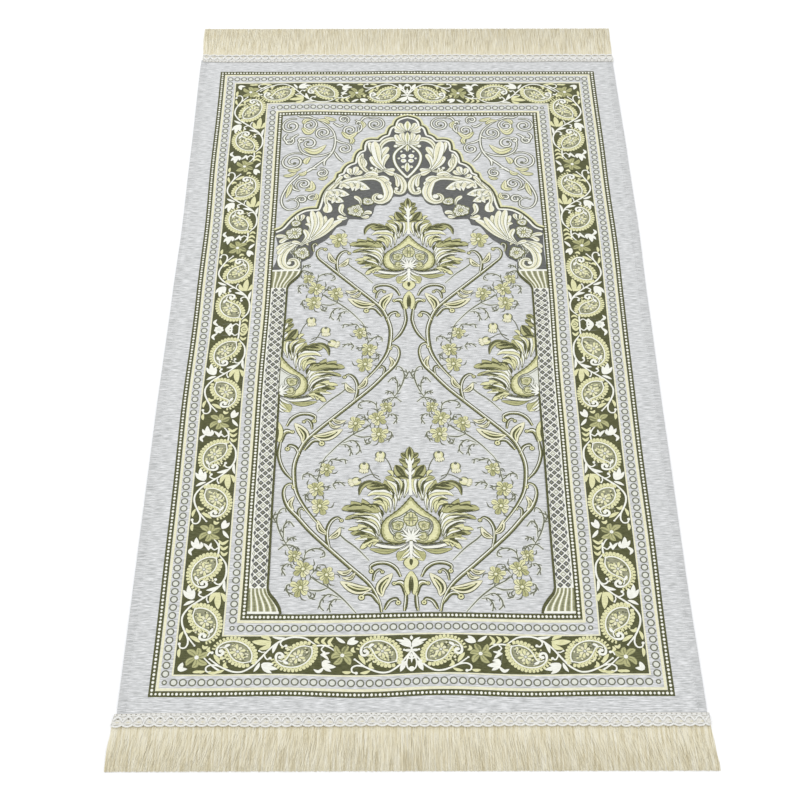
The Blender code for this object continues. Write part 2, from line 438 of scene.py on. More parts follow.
def ring(at, yarn, level, x, y, radius, line, sides=14):
    """A round outline."""
    points = []
    for i in range(sides):
        turn = math.tau * i / sides
        for r in (radius - line / 2, radius + line / 2):
            points.append((*at(x + r * math.cos(turn), y + r * math.sin(turn)), level * YARN_STEP))
    faces = []
    for i in range(sides):
        a, b = 2 * i, 2 * ((i + 1) % sides)
        faces.append([a, a + 1, b + 1, b])
    weave(yarn, points, faces)


def stations(low, high, pitch):
    """Evenly spaced places from low to high, both taken, at about that pitch."""
    count = max(1, round((high - low) / pitch))
    return [low + (high - low) * i / count for i in range(count + 1)]


def round_the_rug(row, pitch):
    """Places along a frame-shaped row, corner to corner, with the corners taken once."""
    sides = [(sign * row["side"], y) for sign in (-1, 1) for y in stations(row["near"], row["far"], pitch)]
    inner = stations(-row["side"], row["side"], pitch)[1:-1]
    return sides + [(x, row[end]) for end in ("near", "far") for x in inner]


for stripe in STRIPES:
    half = stripe["wide"] / 2
    flat = half * (END_BAND_SHARE if stripe["wide"] == GROUND_WIDE else 1)
    for sign in (-1, 1):
        middle = sign * stripe["side"]
        low, high = stripe["near"] - flat, stripe["far"] + flat
        block(stripe["yarn"], 1, middle - half, middle + half, low, high)
    inner = stripe["side"] - half
    for middle in (stripe["near"], stripe["far"]):
        block(stripe["yarn"], 1, -inner, inner, middle - flat, middle + flat)

for row in BEAD_ROWS:
    for count, (x, y) in enumerate(round_the_rug(row, BEAD_PITCH)):
        disc(plain, "ivory", 2, x, y, row["radius"] * (1.0 if count % 2 else SMALL_BEAD), tall=1.1)

for row in RING_ROWS:
    corners = [(sign * row["side"], row[end]) for sign in (-1, 1) for end in ("near", "far")]
    for x, y in round_the_rug(row, RING_PITCH):
        if (x, y) in corners:
            disc(plain, "ash", 1, x, y, CORNER_DOT)
            disc(plain, "pale", 2, x, y, CORNER_EYE)
        else:
            disc(plain, "pale", 1, x, y, RING_EYE, sides=12)
            ring(plain, "ash", 2, x, y, RING_RADIUS, RING_LINE)


# ---- Main border -------------------------------------------------------------------------------------
# Between the two rows of rings, in floats of yarn: paisleys in pairs, with a hooked flower after each pair,
# on a white vine that swings from one edge of the dark ground to the other. Each side mirrors about its
# middle, and so does each end.

BORDER_SIDE = 242.0
BORDER_NEAR = -480.0
BORDER_FAR = 476.4
SIDE_PERIOD = 166.0
END_PERIOD = 164.0
SIDE_START = 14.0
END_START = 86.0
ROSETTE_ACROSS = -14.5
EYE_ACROSS = 20.0
CORNER_X = 243.0
CORNER_Y = 481.0

# Measured along the vine from a flower, and across the border towards the rug's middle. A run's first unit
# leaves out what starts before its mirror line.
VINES = (
    {"from": 14, "bulb": 0, "widths": (1.9, 2.2, 2), "path": ((14, 13), (20, 13), (27, 13), (36, 11))},
    {"from": 14, "bulb": 0, "widths": (1.6, 2.3, 2.3, 2),
     "path": ((31, 14), (42, 22), (52, 24), (62, 23), (72, 18), (80, 11), (87, 3))},
    {"from": 86, "bulb": 1.9, "widths": (2.2, 2.3, 2.2, 2.2, 2, 1.8),
     "path": ((86, 4), (95, -8), (102, -16), (112, -22), (122, -22), (132, -18), (140, -14), (148, -13),
              (153, -16), (152.5, -21), (148, -22.5))},
    {"from": 100, "bulb": 1.3, "widths": (2, 1.7), "path": ((139, -14), (144, -10), (150, -5))},
    {"from": 14, "bulb": 1.6, "widths": (1.6, 1.8), "path": ((21, 12), (24, 8), (21, 4))},
    {"from": 14, "bulb": 1.9, "widths": (1.6, 2), "path": ((66, 23), (71, 16), (68, 11), (64.5, 12))},
    {"from": 86, "bulb": 1.9, "widths": (1.6, 1.9), "path": ((87, 4), (88, -1), (85, -6), (81.5, -4.5))},
    {"from": 86, "bulb": 1.3, "widths": (1.4, 1.6), "path": ((88, 4), (91, 3.5), (94.5, 5.5))},
    {"from": 86, "bulb": 0, "widths": (1.6, 1.6), "path": ((95, -8), (100, -9.5), (104, -9))},
)

LEAVES = {
    "ivory": (
        {"wide": 6, "path": ((23, -10), (15, -14), (7, -15))},
        {"wide": 4.5, "path": ((23, -10), (18, -8), (13, -9))},
        {"wide": 4.5, "path": ((23, -11), (18, -17), (12, -21))},
        {"wide": 4, "path": ((20, -15.5), (26, -21.5), (32, -18.5))},
        {"wide": 3.4, "path": ((25, 1), (20, -1), (15, -6))},
        {"wide": 3, "path": ((25, 1), (20, 2), (14, 3.5))},
        {"wide": 4.2, "path": ((73, 18), (77, 11), (79, 2))},
        {"wide": 3.4, "path": ((66, 23), (73, 22.5), (81, 24.5))},
        {"wide": 6.2, "path": ((91, -12), (82, -17), (72, -19))},
        {"wide": 4.8, "path": ((90, -11), (84, -12.5), (77, -12.5))},
        {"wide": 4.8, "path": ((91, -13), (86, -19.5), (78.5, -24.5))},
        {"wide": 3.8, "path": ((93, -10), (95, -16), (99, -22.5))},
    ),
    "gold": (
        {"wide": 3.8, "path": ((10, 11), (15.5, 17), (10.5, 24))},
        {"wide": 3.6, "path": ((18, 13.5), (23, 18.5), (18.5, 24))},
        {"wide": 3.6, "path": ((26, 15), (31, 19.5), (27, 24))},
        {"wide": 5.6, "path": ((82, 17), (86, 10.5), (95, 7.5))},
        {"wide": 7.4, "path": ((81, 17.5), (91, 16.5), (104, 18))},
        {"wide": 4.6, "path": ((82, 19), (87, 23.5), (94, 24.5))},
        {"wide": 3.8, "path": ((128, -17), (132.5, -14), (131, -9))},
        {"wide": 3.6, "path": ((132, -19.5), (138, -22), (144, -22.5))},
        {"wide": 4.6, "path": ((138, -12), (141, -6), (146, 1))},
        {"wide": 3.8, "path": ((153.5, -21), (158, -22), (164, -21))},
        {"wide": 3.8, "path": ((149, 4), (153, 6.5), (151, 11))},
    ),
}

# What belongs to the flower itself, measured from its own place, and what a corner's flower has instead.
FLOWER_LEAVES = (
    {"yarn": "ivory", "wide": 6, "path": ((-5, 15), (-11, 16.5), (-18, 18))},
    {"yarn": "ivory", "wide": 5, "path": ((-5, 15), (-10, 20), (-14, 23.5))},
    {"yarn": "ivory", "wide": 4, "path": ((-3, 16), (2, 19), (8, 24))},
    {"yarn": "moss", "wide": 2.6, "path": ((1, 3), (-3, 9), (-6, 15))},
)
CORNER_LEAVES = (
    {"yarn": "ivory", "wide": 6, "path": ((6, -15), (14, -17), (14, -9))},
    {"yarn": "gold", "wide": 3.4, "path": ((18, -3), (17.5, 2), (18, 8))},
    {"yarn": "gold", "wide": 3.4, "path": ((18.5, 14), (19, 21), (18, 28))},
    {"yarn": "gold", "wide": 3.6, "path": ((-10, -20), (-5, -21), (0, -20))},
)
HOOKED_PETALS = (
    {"path": ((0, 0), (-6, -5), (-9, -12)), "wide": 6},
    {"path": ((0, 0), (-7, 2), (-12, 0)), "wide": 5.6},
    {"path": ((0, 0), (-3, 8), (-7, 12)), "wide": 6},
    {"path": ((0, 0), (6, 5), (8, 13)), "wide": 6},
    {"path": ((0, 0), (8, 0), (12, -4)), "wide": 6},
    {"path": ((0, 0), (4, -8), (10, -11)), "wide": 5.6},
)

PAISLEY_BACK = ((36, 11), (34.3, 6), (35.5, -2), (41, -10), (49, -15), (58, -16.5), (67, -14.5), (73, -9.5),
                (75, -4), (74, 1), (70.5, 2.2), (67.6, 0), (68, -3), (70.4, -3.4))
PAISLEY_BELLY = ((36, 11), (44, 12.2), (52, 9.5), (57.5, 4.5), (61, -2), (64, -7), (68.5, -8.6), (72, -7))
PAISLEY_TAIL = 8
PAISLEY_HEART = (51, -2.6)
PAISLEY_FILLINGS = 110
PAISLEY_PETALS = 8
PAISLEY_STEP = 68.0
PAISLEY_FLIP = 2.0
LOBE_PITCH = 4.3
LOBE_OUT = 4.8
LOBE_RADIUS = 2.35


def curve(points, step=1.7):
    """A smooth line through a few given points."""
    first = (2 * points[0][0] - points[1][0], 2 * points[0][1] - points[1][1])
    last = (2 * points[-1][0] - points[-2][0], 2 * points[-1][1] - points[-2][1])
    knots = [first, *points, last]
    line = [points[0]]
    for a, b, c, d in zip(knots, knots[1:], knots[2:], knots[3:]):
        parts = max(1, math.ceil(math.dist(b, c) / step))
        for k in range(1, parts + 1):
            t = k / parts
            line.append(
                tuple(
                    0.5 * (2 * b[i] + (c[i] - a[i]) * t + (2 * a[i] - 5 * b[i] + 4 * c[i] - d[i]) * t**2
                           + (3 * b[i] - a[i] - 3 * c[i] + d[i]) * t**3)
                    for i in (0, 1)
                )
            )
    return line


def beside(line, offset):
    """The line moved sideways, to its left where the offset is above 0. The offset may vary along it."""
    moved = []
    for i, (x, y) in enumerate(line):
        before, after = line[max(i - 1, 0)], line[min(i + 1, len(line) - 1)]
        dx, dy = after[0] - before[0], after[1] - before[1]
        size = math.hypot(dx, dy) or 1.0
        out = offset(i / (len(line) - 1)) if callable(offset) else offset
        moved.append((x - out * dy / size, y + out * dx / size))
    return moved


def evenly(line, pitch):
    """Points at that pitch along a line, with the share of its length at each."""
    ends = [0.0]
    for a, b in zip(line, line[1:]):
        ends.append(ends[-1] + math.dist(a, b))
    found = []
    count = max(1, round(ends[-1] / pitch))
    k = 0
    for n in range(count + 1):
        reach = ends[-1] * n / count
        while k < len(line) - 2 and ends[k + 1] < reach:
            k += 1
        t = (reach - ends[k]) / ((ends[k + 1] - ends[k]) or 1.0)
        spot = tuple(line[k][i] * (1 - t) + line[k + 1][i] * t for i in (0, 1))
        found.append((spot, n / count))
    return found


def spread(widths, t):
    """The width at share t of a line, from a few widths spaced evenly along it."""
    place = t * (len(widths) - 1)
    k = min(int(place), len(widths) - 2)
    return widths[k] + (widths[k + 1] - widths[k]) * smooth(place - k)


def strip(at, yarn, level, line, wide):
    """A crowned float along a line. Its width may vary along it, as a function of the share of its length."""
    left = beside(line, 1.0)
    points = []
    for i, (x, y) in enumerate(line):
        half = (wide(i / (len(line) - 1)) if callable(wide) else wide) / 2
        dx, dy = (left[i][0] - x) * half, (left[i][1] - y) * half
        crown = YARN_CROWN * min(1.0, half)
        points.append((*at(x + dx, y + dy), level * YARN_STEP))
        points.append((*at(x, y), level * YARN_STEP + crown))
        points.append((*at(x - dx, y - dy), level * YARN_STEP))
    faces = []
    for i in range(len(line) - 1):
        a, b = 3 * i, 3 * i + 3
        faces += [[a, a + 1, b + 1, b], [a + 1, a + 2, b + 2, b + 1]]
    weave(yarn, points, faces)


def stroke(at, yarn, level, points, widths, bulb=0.0):
    """A drawn line: through the points, with those widths, and a round bulb at its end."""
    widths = widths if isinstance(widths, tuple) else (widths, widths)
    line = curve(points)
    strip(at, yarn, level, line, lambda t: spread(widths, t))
    if bulb:
        disc(at, yarn, level + 1, *line[-1], bulb)


def leaf(at, yarn, level, points, wide, edge=None, rim=1.1, core=None, lean=0.0, vein=None, full=0.85,
         blunt=False):
    """A leaf along its spine, pointed or blunt, with a dark edge, a second colour inside it and a vein."""
    line = curve(points)

    def profile(t):
        if blunt:
            return (0.35 + 0.65 * smooth(t / 0.7)) * math.sqrt(max(0.0, 1 - max(0.0, (t - 0.72) / 0.28) ** 2))
        return math.sin(math.pi * t**full) ** 0.75

    if edge:
        strip(at, edge, level, line, lambda t: wide * profile(t) + 2 * rim * (0.35 + 0.65 * profile(t)))
    strip(at, yarn, level + 1, line, lambda t: wide * profile(t) + 0.15)
    if core:
        inner = beside(line, lambda t: lean * wide * profile(t))
        strip(at, core, level + 2, inner[len(inner) // 6 :], lambda t: 0.5 * wide * profile(t) + 0.1)
    if vein:
        strip(at, vein, level + 3, line[: 1 + len(line) * 4 // 5], lambda t: 1.1 - 0.6 * t)


def patch(at, yarn, level, outline):
    """A filled shape, with points inside it so that it follows the swells."""
    cell = FLOAT_CELL
    rim = [at(*point) for point in outline]
    count = len(rim)
    low_x, high_x = min(p[0] for p in rim), max(p[0] for p in rim)
    low_y, high_y = min(p[1] for p in rim), max(p[1] for p in rim)
    spots = [Vector(p) for p in rim]
    for j in range(1, int((high_y - low_y) / cell) + 1):
        for i in range(1, int((high_x - low_x) / cell) + 1):
            spot = Vector((low_x + (i + 0.5 * (j % 2)) * cell, low_y + j * cell))
            if min((spot - r).length for r in spots[:count]) > 0.3 * cell:
                spots.append(spot)
    edges = [(i, (i + 1) % count) for i in range(count)]
    found, _, faces, _, _, _ = geometry.delaunay_2d_cdt(spots, edges, [], 1, 1e-4)
    weave(yarn, [(*spot, level * YARN_STEP) for spot in found], [list(face) for face in faces])


def straight(a, b):
    """A straight line of three points."""
    return [a, ((a[0] + b[0]) / 2, (a[1] + b[1]) / 2), b]


def ray(x, y, angle, reach, shares):
    """Points straight out from a middle, at those shares of the reach."""
    return [(x + r * reach * math.cos(angle), y + r * reach * math.sin(angle)) for r in shares]


def paisley(at, pick):
    """A white ring with a curled tail and a scalloped gold edge, round a speckled field with a rosette."""
    back, belly = curve(PAISLEY_BACK), curve(PAISLEY_BELLY)
    tail = back.index(PAISLEY_BACK[PAISLEY_TAIL])
    inside = back[: tail + 1] + belly[::-1]
    patch(at, "dim", 3, inside[:-1])
    strip(at, "gold", 2, beside(back[:tail], -1.5), lambda t: 4.0 * (1 - 0.75 * t**4))
    strip(at, "gold", 2, beside(belly[4:-4], 1.5), lambda t: 3.6 * (1 - 0.7 * t**2))
    for line, out in ((back[:tail], -LOBE_OUT), (belly[2:-3], LOBE_OUT)):
        edge = beside(line, out)
        for (x, y), share in evenly(edge, LOBE_PITCH):
            size = LOBE_RADIUS * (1 - 0.45 * share**3)
            foot = min(line, key=lambda point: math.dist(point, (x, y)))
            inner = (x + 0.6 * (foot[0] - x), y + 0.6 * (foot[1] - y))
            strip(at, "gold", 3, straight(inner, (x, y)), 1.5 * size)
            disc(at, "gold", 4, x, y, 0.92 * size, sides=9)
            disc(at, "moss", 5, *inner, 0.55, sides=5)
    strip(at, "moss", 4, beside(belly[3:-4], -1.7), 1.0)
    strip(at, "moss", 4, beside(back[2 : tail - 1], 1.7), 1.0)
    strip(at, "ivory", 5, belly, 1.4)
    strip(at, "ivory", 6, back[: tail + 1], 1.5)
    strip(at, "ivory", 7, back[tail - 4 :], lambda t: 1.9 + 1.2 * smooth(3 * t))
    disc(at, "ivory", 8, *back[-1], 2.3)
    for n in range(PAISLEY_FILLINGS):
        x, y = pick.uniform(39, 70), pick.uniform(-15, 11)
        clear = min(math.dist((x, y), point) for point in inside)
        if clear > 2.4 and math.dist((x, y), PAISLEY_HEART) > 7.6:
            yarn = ("cream", "ash", "gold", "gold", "olive")[n % 5]
            disc(at, yarn, 4, x, y, pick.uniform(0.8, 1.7), sides=6)
    for k in range(PAISLEY_PETALS):
        angle = math.tau * k / PAISLEY_PETALS + 0.2
        reach = 9.4 - 2.0 * (k % 2)
        spine = ray(*PAISLEY_HEART, angle, reach, (0.2, 0.6, 1.0))
        leaf(at, ("gold", "cream")[k % 2], 5, spine, 3.6, "ash", 0.7, blunt=True)
    disc(at, "ash", 8, *PAISLEY_HEART, 2.4)
    disc(at, "pale", 9, *PAISLEY_HEART, 1.7, sides=7)
    leaf(at, "ivory", 5, ((60, -12), (64, -10.5), (67, -7)), 3.6, edge="olive", rim=0.5)
    leaf(at, "gold", 5, ((44, 6), (46, 3), (46, -1)), 2.8)


def hooked_flower(at, leaves, full, eye):
    """The border's six-petalled flower, with a lily and leaves beside it."""
    for petal in HOOKED_PETALS:
        leaf(at, "dull_gold", 3, petal["path"], petal["wide"], "moss", 0.9, vein="moss", full=1.2)
    disc(at, "ivory", 8, 0, 0, eye)
    for row in leaves:
        leaf(at, row["yarn"], 4, row["path"], row["wide"], full=full)


def vine_run(place, start, period, flowers, pick):
    """One half of a side or an end: whole units, from the mirror line at start out to the corner's flower."""
    for unit in range(flowers):
        shift = unit * period

        def at(u, v, shift=shift):
            return place(u + shift, v)

        def at_second(u, v, shift=shift):
            return place(u + shift + PAISLEY_STEP, PAISLEY_FLIP - v)

        floor = start if unit == 0 else 0
        for row in VINES:
            if row["from"] >= floor:
                stroke(at, "ivory", 3, row["path"], row["widths"], row["bulb"])
        if floor == 0:
            # The vine comes out from under the flower.
            stroke(at, "ivory", 3, ((9, 6), (14, 10), (20, 13)), (1.4, 2.0))
        for yarn, rows in LEAVES.items():
            for row in rows:
                if min(u for u, v in row["path"]) >= floor:
                    leaf(at, yarn, 3, row["path"], row["wide"], full=1.0)
        if floor <= SIDE_START:
            # A thin stalk between the lily and its leaf, and the first paisley of the pair.
            stroke(at, "ash", 2, ((23, -10), (24, -4), (24.5, 1)), 1.1)
            paisley(at, pick)
        # A small loop beside the second one's tail.
        ring(at, "moss", 3, 136, -3, 1.6, 0.9, sides=8)
        paisley(at_second, pick)
        if unit < flowers - 1:
            hooked_flower(lambda u, v, shift=shift: place(u + shift + period, v), FLOWER_LEAVES, 1.0, 2.4)


def side_place(sign, way):
    """Down a long side: along from its middle, and across towards the rug's middle."""
    return lambda u, v: (sign * (BORDER_SIDE - v), way * (u - SIDE_START))


def end_place(sign, end):
    """Along an end from its middle towards a corner."""
    middle, inward = (BORDER_NEAR, 1) if end == "near" else (BORDER_FAR, -1)
    return lambda u, v: (sign * (u - END_START), middle + inward * v * END_BAND_SHARE)


def corner_place(sign, way):
    """At a corner's flower, turned so that its leaves lie along the outer edges."""
    return lambda u, v: (sign * (CORNER_X - v), way * (CORNER_Y + u) - 2)


sprinkle = random.Random(5)
for sign in (-1, 1):
    for way in (-1, 1):
        vine_run(side_place(sign, way), SIDE_START, SIDE_PERIOD, 3, sprinkle)
        corner = corner_place(sign, way)
        hooked_flower(corner, CORNER_LEAVES, 0.85, 2.6)
        stroke(corner, "ivory", 3, ((0, 8), (6, 14), (12, 21), (18, 30)), (1.6, 2.2))
        stroke(corner, "ivory", 4, ((-2, 12), (-6, 14), (-6, 17)), (1.6, 2.0), 1.8)
    for end in ("near", "far"):
        vine_run(end_place(sign, end), END_START, END_PERIOD, 2, sprinkle)

# The middle of each long side, where the vines of both halves meet: a white rosette near the outer edge,
# three white leaves over it, and a gold eye at the inner edge.
for sign in (-1, 1):
    middle = side_place(sign, 1)
    for k in range(7):
        petal = ray(SIDE_START, ROSETTE_ACROSS, math.tau * k / 7, 4.4, (1.0,))[0]
        disc(middle, "ivory", 3, *petal, 2.3)
    disc(middle, "ivory", 4, SIDE_START, ROSETTE_ACROSS, 4.6, sides=12, tall=0.8)
    disc(middle, "pale", 5, SIDE_START, ROSETTE_ACROSS, 2.4, tall=1.2)
    leaf(middle, "ivory", 4, ((SIDE_START, -6.6), (SIDE_START, -1), (SIDE_START, 5)), 3.6)
    for way in (-1, 1):
        spine = ((SIDE_START, -3.5), (SIDE_START + 4 * way, -1), (SIDE_START + 9 * way, 2.5))
        leaf(middle, "ivory", 4, spine, 3.6)
    disc(middle, "gold", 4, SIDE_START, EYE_ACROSS, 5.8, sides=12, tall=0.9)
    disc(middle, "moss", 5, SIDE_START, EYE_ACROSS, 3.3, sides=10, tall=0.9)
    disc(middle, "gold", 6, SIDE_START, EYE_ACROSS, 1.8, tall=1.2)

# The middle of each end, where the two vines cross under a pair of lily leaves.
END_MIDDLE_LEAVES = (
    {"wide": 4.8, "path": ((87, 8), (93, 15), (104, 19))},
    {"wide": 4.2, "path": ((87, 9), (89.5, 16), (96, 21.5))},
    {"wide": 3, "path": ((87.5, 9), (94, 12), (100, 14.5))},
    {"wide": 2.3, "path": ((86, 5), (91, 5), (96, 4.5))},
    {"wide": 4.2, "path": ((92, -9), (96, -14), (99, -21))},
    {"wide": 2.4, "path": ((86, 18), (86.6, 21), (86, 24))},
)
for end in ("near", "far"):
    for sign in (-1, 1):
        middle = end_place(sign, end)
        for row in END_MIDDLE_LEAVES:
            leaf(middle, "ivory", 4, row["path"], row["wide"])
        stroke(middle, "ivory", 3, ((86, 2), (86.3, 6), (87.4, 11)), (1.4, 1.6))
        stroke(middle, "ivory", 3, ((86, 4), (91.5, -9), (90.5, -18), (86, -22)), (1.4, 2.0, 1.6))
    disc(middle, "ivory", 4, END_START, -19.5, 3.4)
    leaf(middle, "ivory", 4, ((86, 1), (86.01, -6), (86, -12)), 2.4)


# ---- Columns -----------------------------------------------------------------------------------------
# A column down each side of the field: a net of white floats between small lozenges, dark ones and dim ones
# with a pale eye. It stands on a fluted foot, and carries the niche on a fluted cap.

COLUMN_OUT = 190.2
COLUMN_IN = 168.4
COLUMN_FOOT = -394.0
COLUMN_HEAD = 73.0
COLUMN_LEVEL = 8
COLUMN_EDGE = 2.8
LOZENGE_ACROSS = 9.3
LOZENGE_ALONG = 9.6
LOZENGE_WIDE = 3.7
LOZENGE_CUT = 1.8
LOZENGE_TALL = 3.8
LOZENGE_INWARD = 1.2
FOOT_END = -426.2
CAP_END = 105.4
FLARE_FOOT = ((168.4, -394), (166, -401), (159.5, -410), (154, -419), (151.5, -427.6))
FLARE_CAP = ((168.4, 73), (165.5, 80), (159, 88), (153, 96), (149.6, 104))
FLUTES = 5


def lozenge(at, yarn, level, x, y, wide, tall):
    """A small four-sided float."""
    corners = ((x - wide, y), (x, y - tall), (x + wide, y), (x, y + tall))
    weave(yarn, [(*at(*point), level * YARN_STEP) for point in corners], [[0, 1, 2, 3]])


def flare(at, line, base_y, tip_y):
    """A fluted foot or cap: pale ribs over moss, that fan out from the column to its wide end."""
    edge = curve(line)
    patch(at, "dim", COLUMN_LEVEL, [(COLUMN_OUT, base_y)] + edge + [(COLUMN_OUT, tip_y)])
    for k in range(FLUTES):
        share = (k + 0.62) / FLUTES
        path = [(COLUMN_OUT - (COLUMN_OUT - x) * share, y) for x, y in edge]
        strip(at, "gold", COLUMN_LEVEL + 1, path, lambda t: 1.9 + 1.0 * t)
        strip(at, "ivory", COLUMN_LEVEL + 2, path, lambda t: 1.1 + 0.6 * t)
        path = [(COLUMN_OUT - (COLUMN_OUT - x) * (share - 0.1), y) for x, y in edge]
        strip(at, "moss", COLUMN_LEVEL + 1, path, lambda t: 0.6 + 0.8 * t)
    strip(at, "olive", COLUMN_LEVEL + 3, edge, lambda t: COLUMN_EDGE + 1.6 * math.sin(math.pi * t))
    middle, last = (COLUMN_OUT + line[-1][0]) / 2, line[-1][0] + 2
    stroke(at, "ivory", COLUMN_LEVEL + 3, ((COLUMN_OUT, tip_y), (middle, tip_y), (last, tip_y)), 3.0)


def half_place(sign):
    """The rug's own millimetres, mirrored where sign is -1."""
    return lambda x, y: (sign * x, y)


for sign in (-1, 1):
    at = half_place(sign)
    low, high = sorted((sign * COLUMN_OUT, sign * COLUMN_IN))
    block("ivory", COLUMN_LEVEL, low, high, COLUMN_FOOT, COLUMN_HEAD)
    middle = (COLUMN_OUT + COLUMN_IN) / 2
    for n, y in enumerate(stations(COLUMN_FOOT + 4, COLUMN_HEAD - 4, LOZENGE_ALONG / 2)):
        if n % 2 == 0:
            spots = [(middle - LOZENGE_ACROSS / 2, "smoke"), (middle + LOZENGE_ACROSS / 2, "smoke")]
        else:
            centre, edges = ("smoke", "dim") if n % 4 == 1 else ("dim", "smoke")
            spots = [(middle, centre), (middle - LOZENGE_ACROSS, edges), (middle + LOZENGE_ACROSS, edges)]
        for x, yarn in spots:
            cut = abs(x - middle) >= LOZENGE_ACROSS * 0.9
            wide = LOZENGE_CUT if cut else LOZENGE_WIDE
            if cut:
                x -= math.copysign(LOZENGE_INWARD, x - middle)
            lozenge(at, yarn, COLUMN_LEVEL + 1, x, y, wide, LOZENGE_TALL)
            if yarn == "dim":
                lozenge(at, "pale", COLUMN_LEVEL + 2, x, y, 0.66 * wide, 2.4)
            elif not cut:
                lozenge(at, "dim", COLUMN_LEVEL + 2, x, y, 1.2, 1.4)
    long_edge = [(COLUMN_IN, y) for y in stations(COLUMN_FOOT, COLUMN_HEAD, FLOAT_CELL)]
    strip(at, "olive", COLUMN_LEVEL + 3, long_edge, COLUMN_EDGE)
    flare(at, FLARE_FOOT, COLUMN_FOOT, FOOT_END)
    flare(at, FLARE_CAP, COLUMN_HEAD, CAP_END)


# ---- Niche -------------------------------------------------------------------------------------------
# The arch over the field: a smoke-grey band with a stepped outer edge of cusped lobes, lined in dark, gold
# and white yarn, and filled with white and gold scrolling leaves, florets and a hanging drop.
# Drawn for the right half; the left half mirrors it.

ARCH_FOOT = 106
ARCH_LINE = 2.8

ARCH_OUTER = (
    ((190.4, 185), (181, 190), (173, 202), (166, 211), (158, 219), (149, 224.5), (140, 226.5), (131, 227)),
    ((131, 227), (128.5, 238), (126.5, 249), (123.5, 260), (118.5, 270), (111.5, 279), (105.5, 287),
     (103, 298)),
    ((103, 298), (100, 299.5), (97, 301)),
    ((97, 301), (95, 308), (91.5, 314.5), (86.5, 319.5), (79.5, 323)),
    ((79.5, 323), (78.5, 332), (76.5, 340), (72.5, 346.5), (66.5, 349.5)),
    ((66.5, 349.5), (66.5, 358), (64.5, 366.5), (60, 371), (53, 372.5), (44, 372)),
    ((44, 372), (41, 377), (36, 381.5), (31, 383.5)),
    ((31, 383.5), (29.5, 390), (27.5, 397), (24, 401.5), (20, 403)),
    ((20, 403), (19, 410), (16, 416.5), (11, 420.5), (5, 423), (0, 424.5)),
)
ARCH_INNER = (
    ((149.4, 106), (150, 114), (150.5, 121)),
    ((150.5, 121), (145, 125), (139, 129), (135, 136), (133.5, 146), (131, 153.5)),
    ((131, 153.5), (125, 158), (118, 164), (111, 173), (106, 183), (101, 190), (94, 192.5)),
    ((94, 192.5), (89, 194), (87.5, 200), (85, 205.5)),
    ((85, 205.5), (76, 205.5), (67, 205), (59, 207), (53, 212), (50, 220), (48.5, 229), (46, 233.5)),
    ((46, 233.5), (40, 233.5), (34, 233.5), (28, 237), (24, 243), (22, 249), (19, 251.5)),
    ((19, 251.5), (13, 250.5), (7, 252), (3, 255), (0, 258.5)),
)

SCROLLS = (
    {"widths": (5, 10, 11, 12, 11, 9, 8, 7, 5, 4), "bulb": 3.2,
     "path": ((160, 156), (172, 146), (178, 132), (177, 118), (170, 110), (161, 110), (156, 117), (159, 125),
              (166, 125.5), (168, 119.5))},
    {"widths": (5, 9, 9, 9, 9, 9, 10, 13, 14, 12, 9, 6, 5, 4), "bulb": 4.4,
     "path": ((99, 268), (92, 280), (78, 286), (62, 290), (47, 290), (36, 283), (30, 270), (28, 257),
              (32, 245), (40, 240), (48, 243), (49, 251), (44, 255), (40, 251))},
    {"widths": (3, 9, 8, 6, 4, 3), "bulb": 2.4,
     "path": ((67, 341), (70, 327), (66, 312), (58, 302), (50, 304), (53, 310))},
    {"widths": (3, 6, 8, 8, 6, 4), "bulb": 3,
     "path": ((41, 345), (40, 358), (33, 369), (22, 373), (13, 368), (12, 360.5), (17.5, 357.5))},
    {"widths": (3, 7, 9, 8, 6, 4), "bulb": 2.8,
     "path": ((19, 299), (9, 288), (5, 272), (9, 259), (17, 260), (16, 267))},
    {"widths": (4, 7, 8, 6, 3), "bulb": 0,
     "path": ((98, 284), (110, 270), (118, 254), (119, 240), (117, 233))},
    {"widths": (3, 4.4, 4.4, 3), "bulb": 0, "path": ((47, 311), (46, 301), (52, 293), (62, 290))},
)
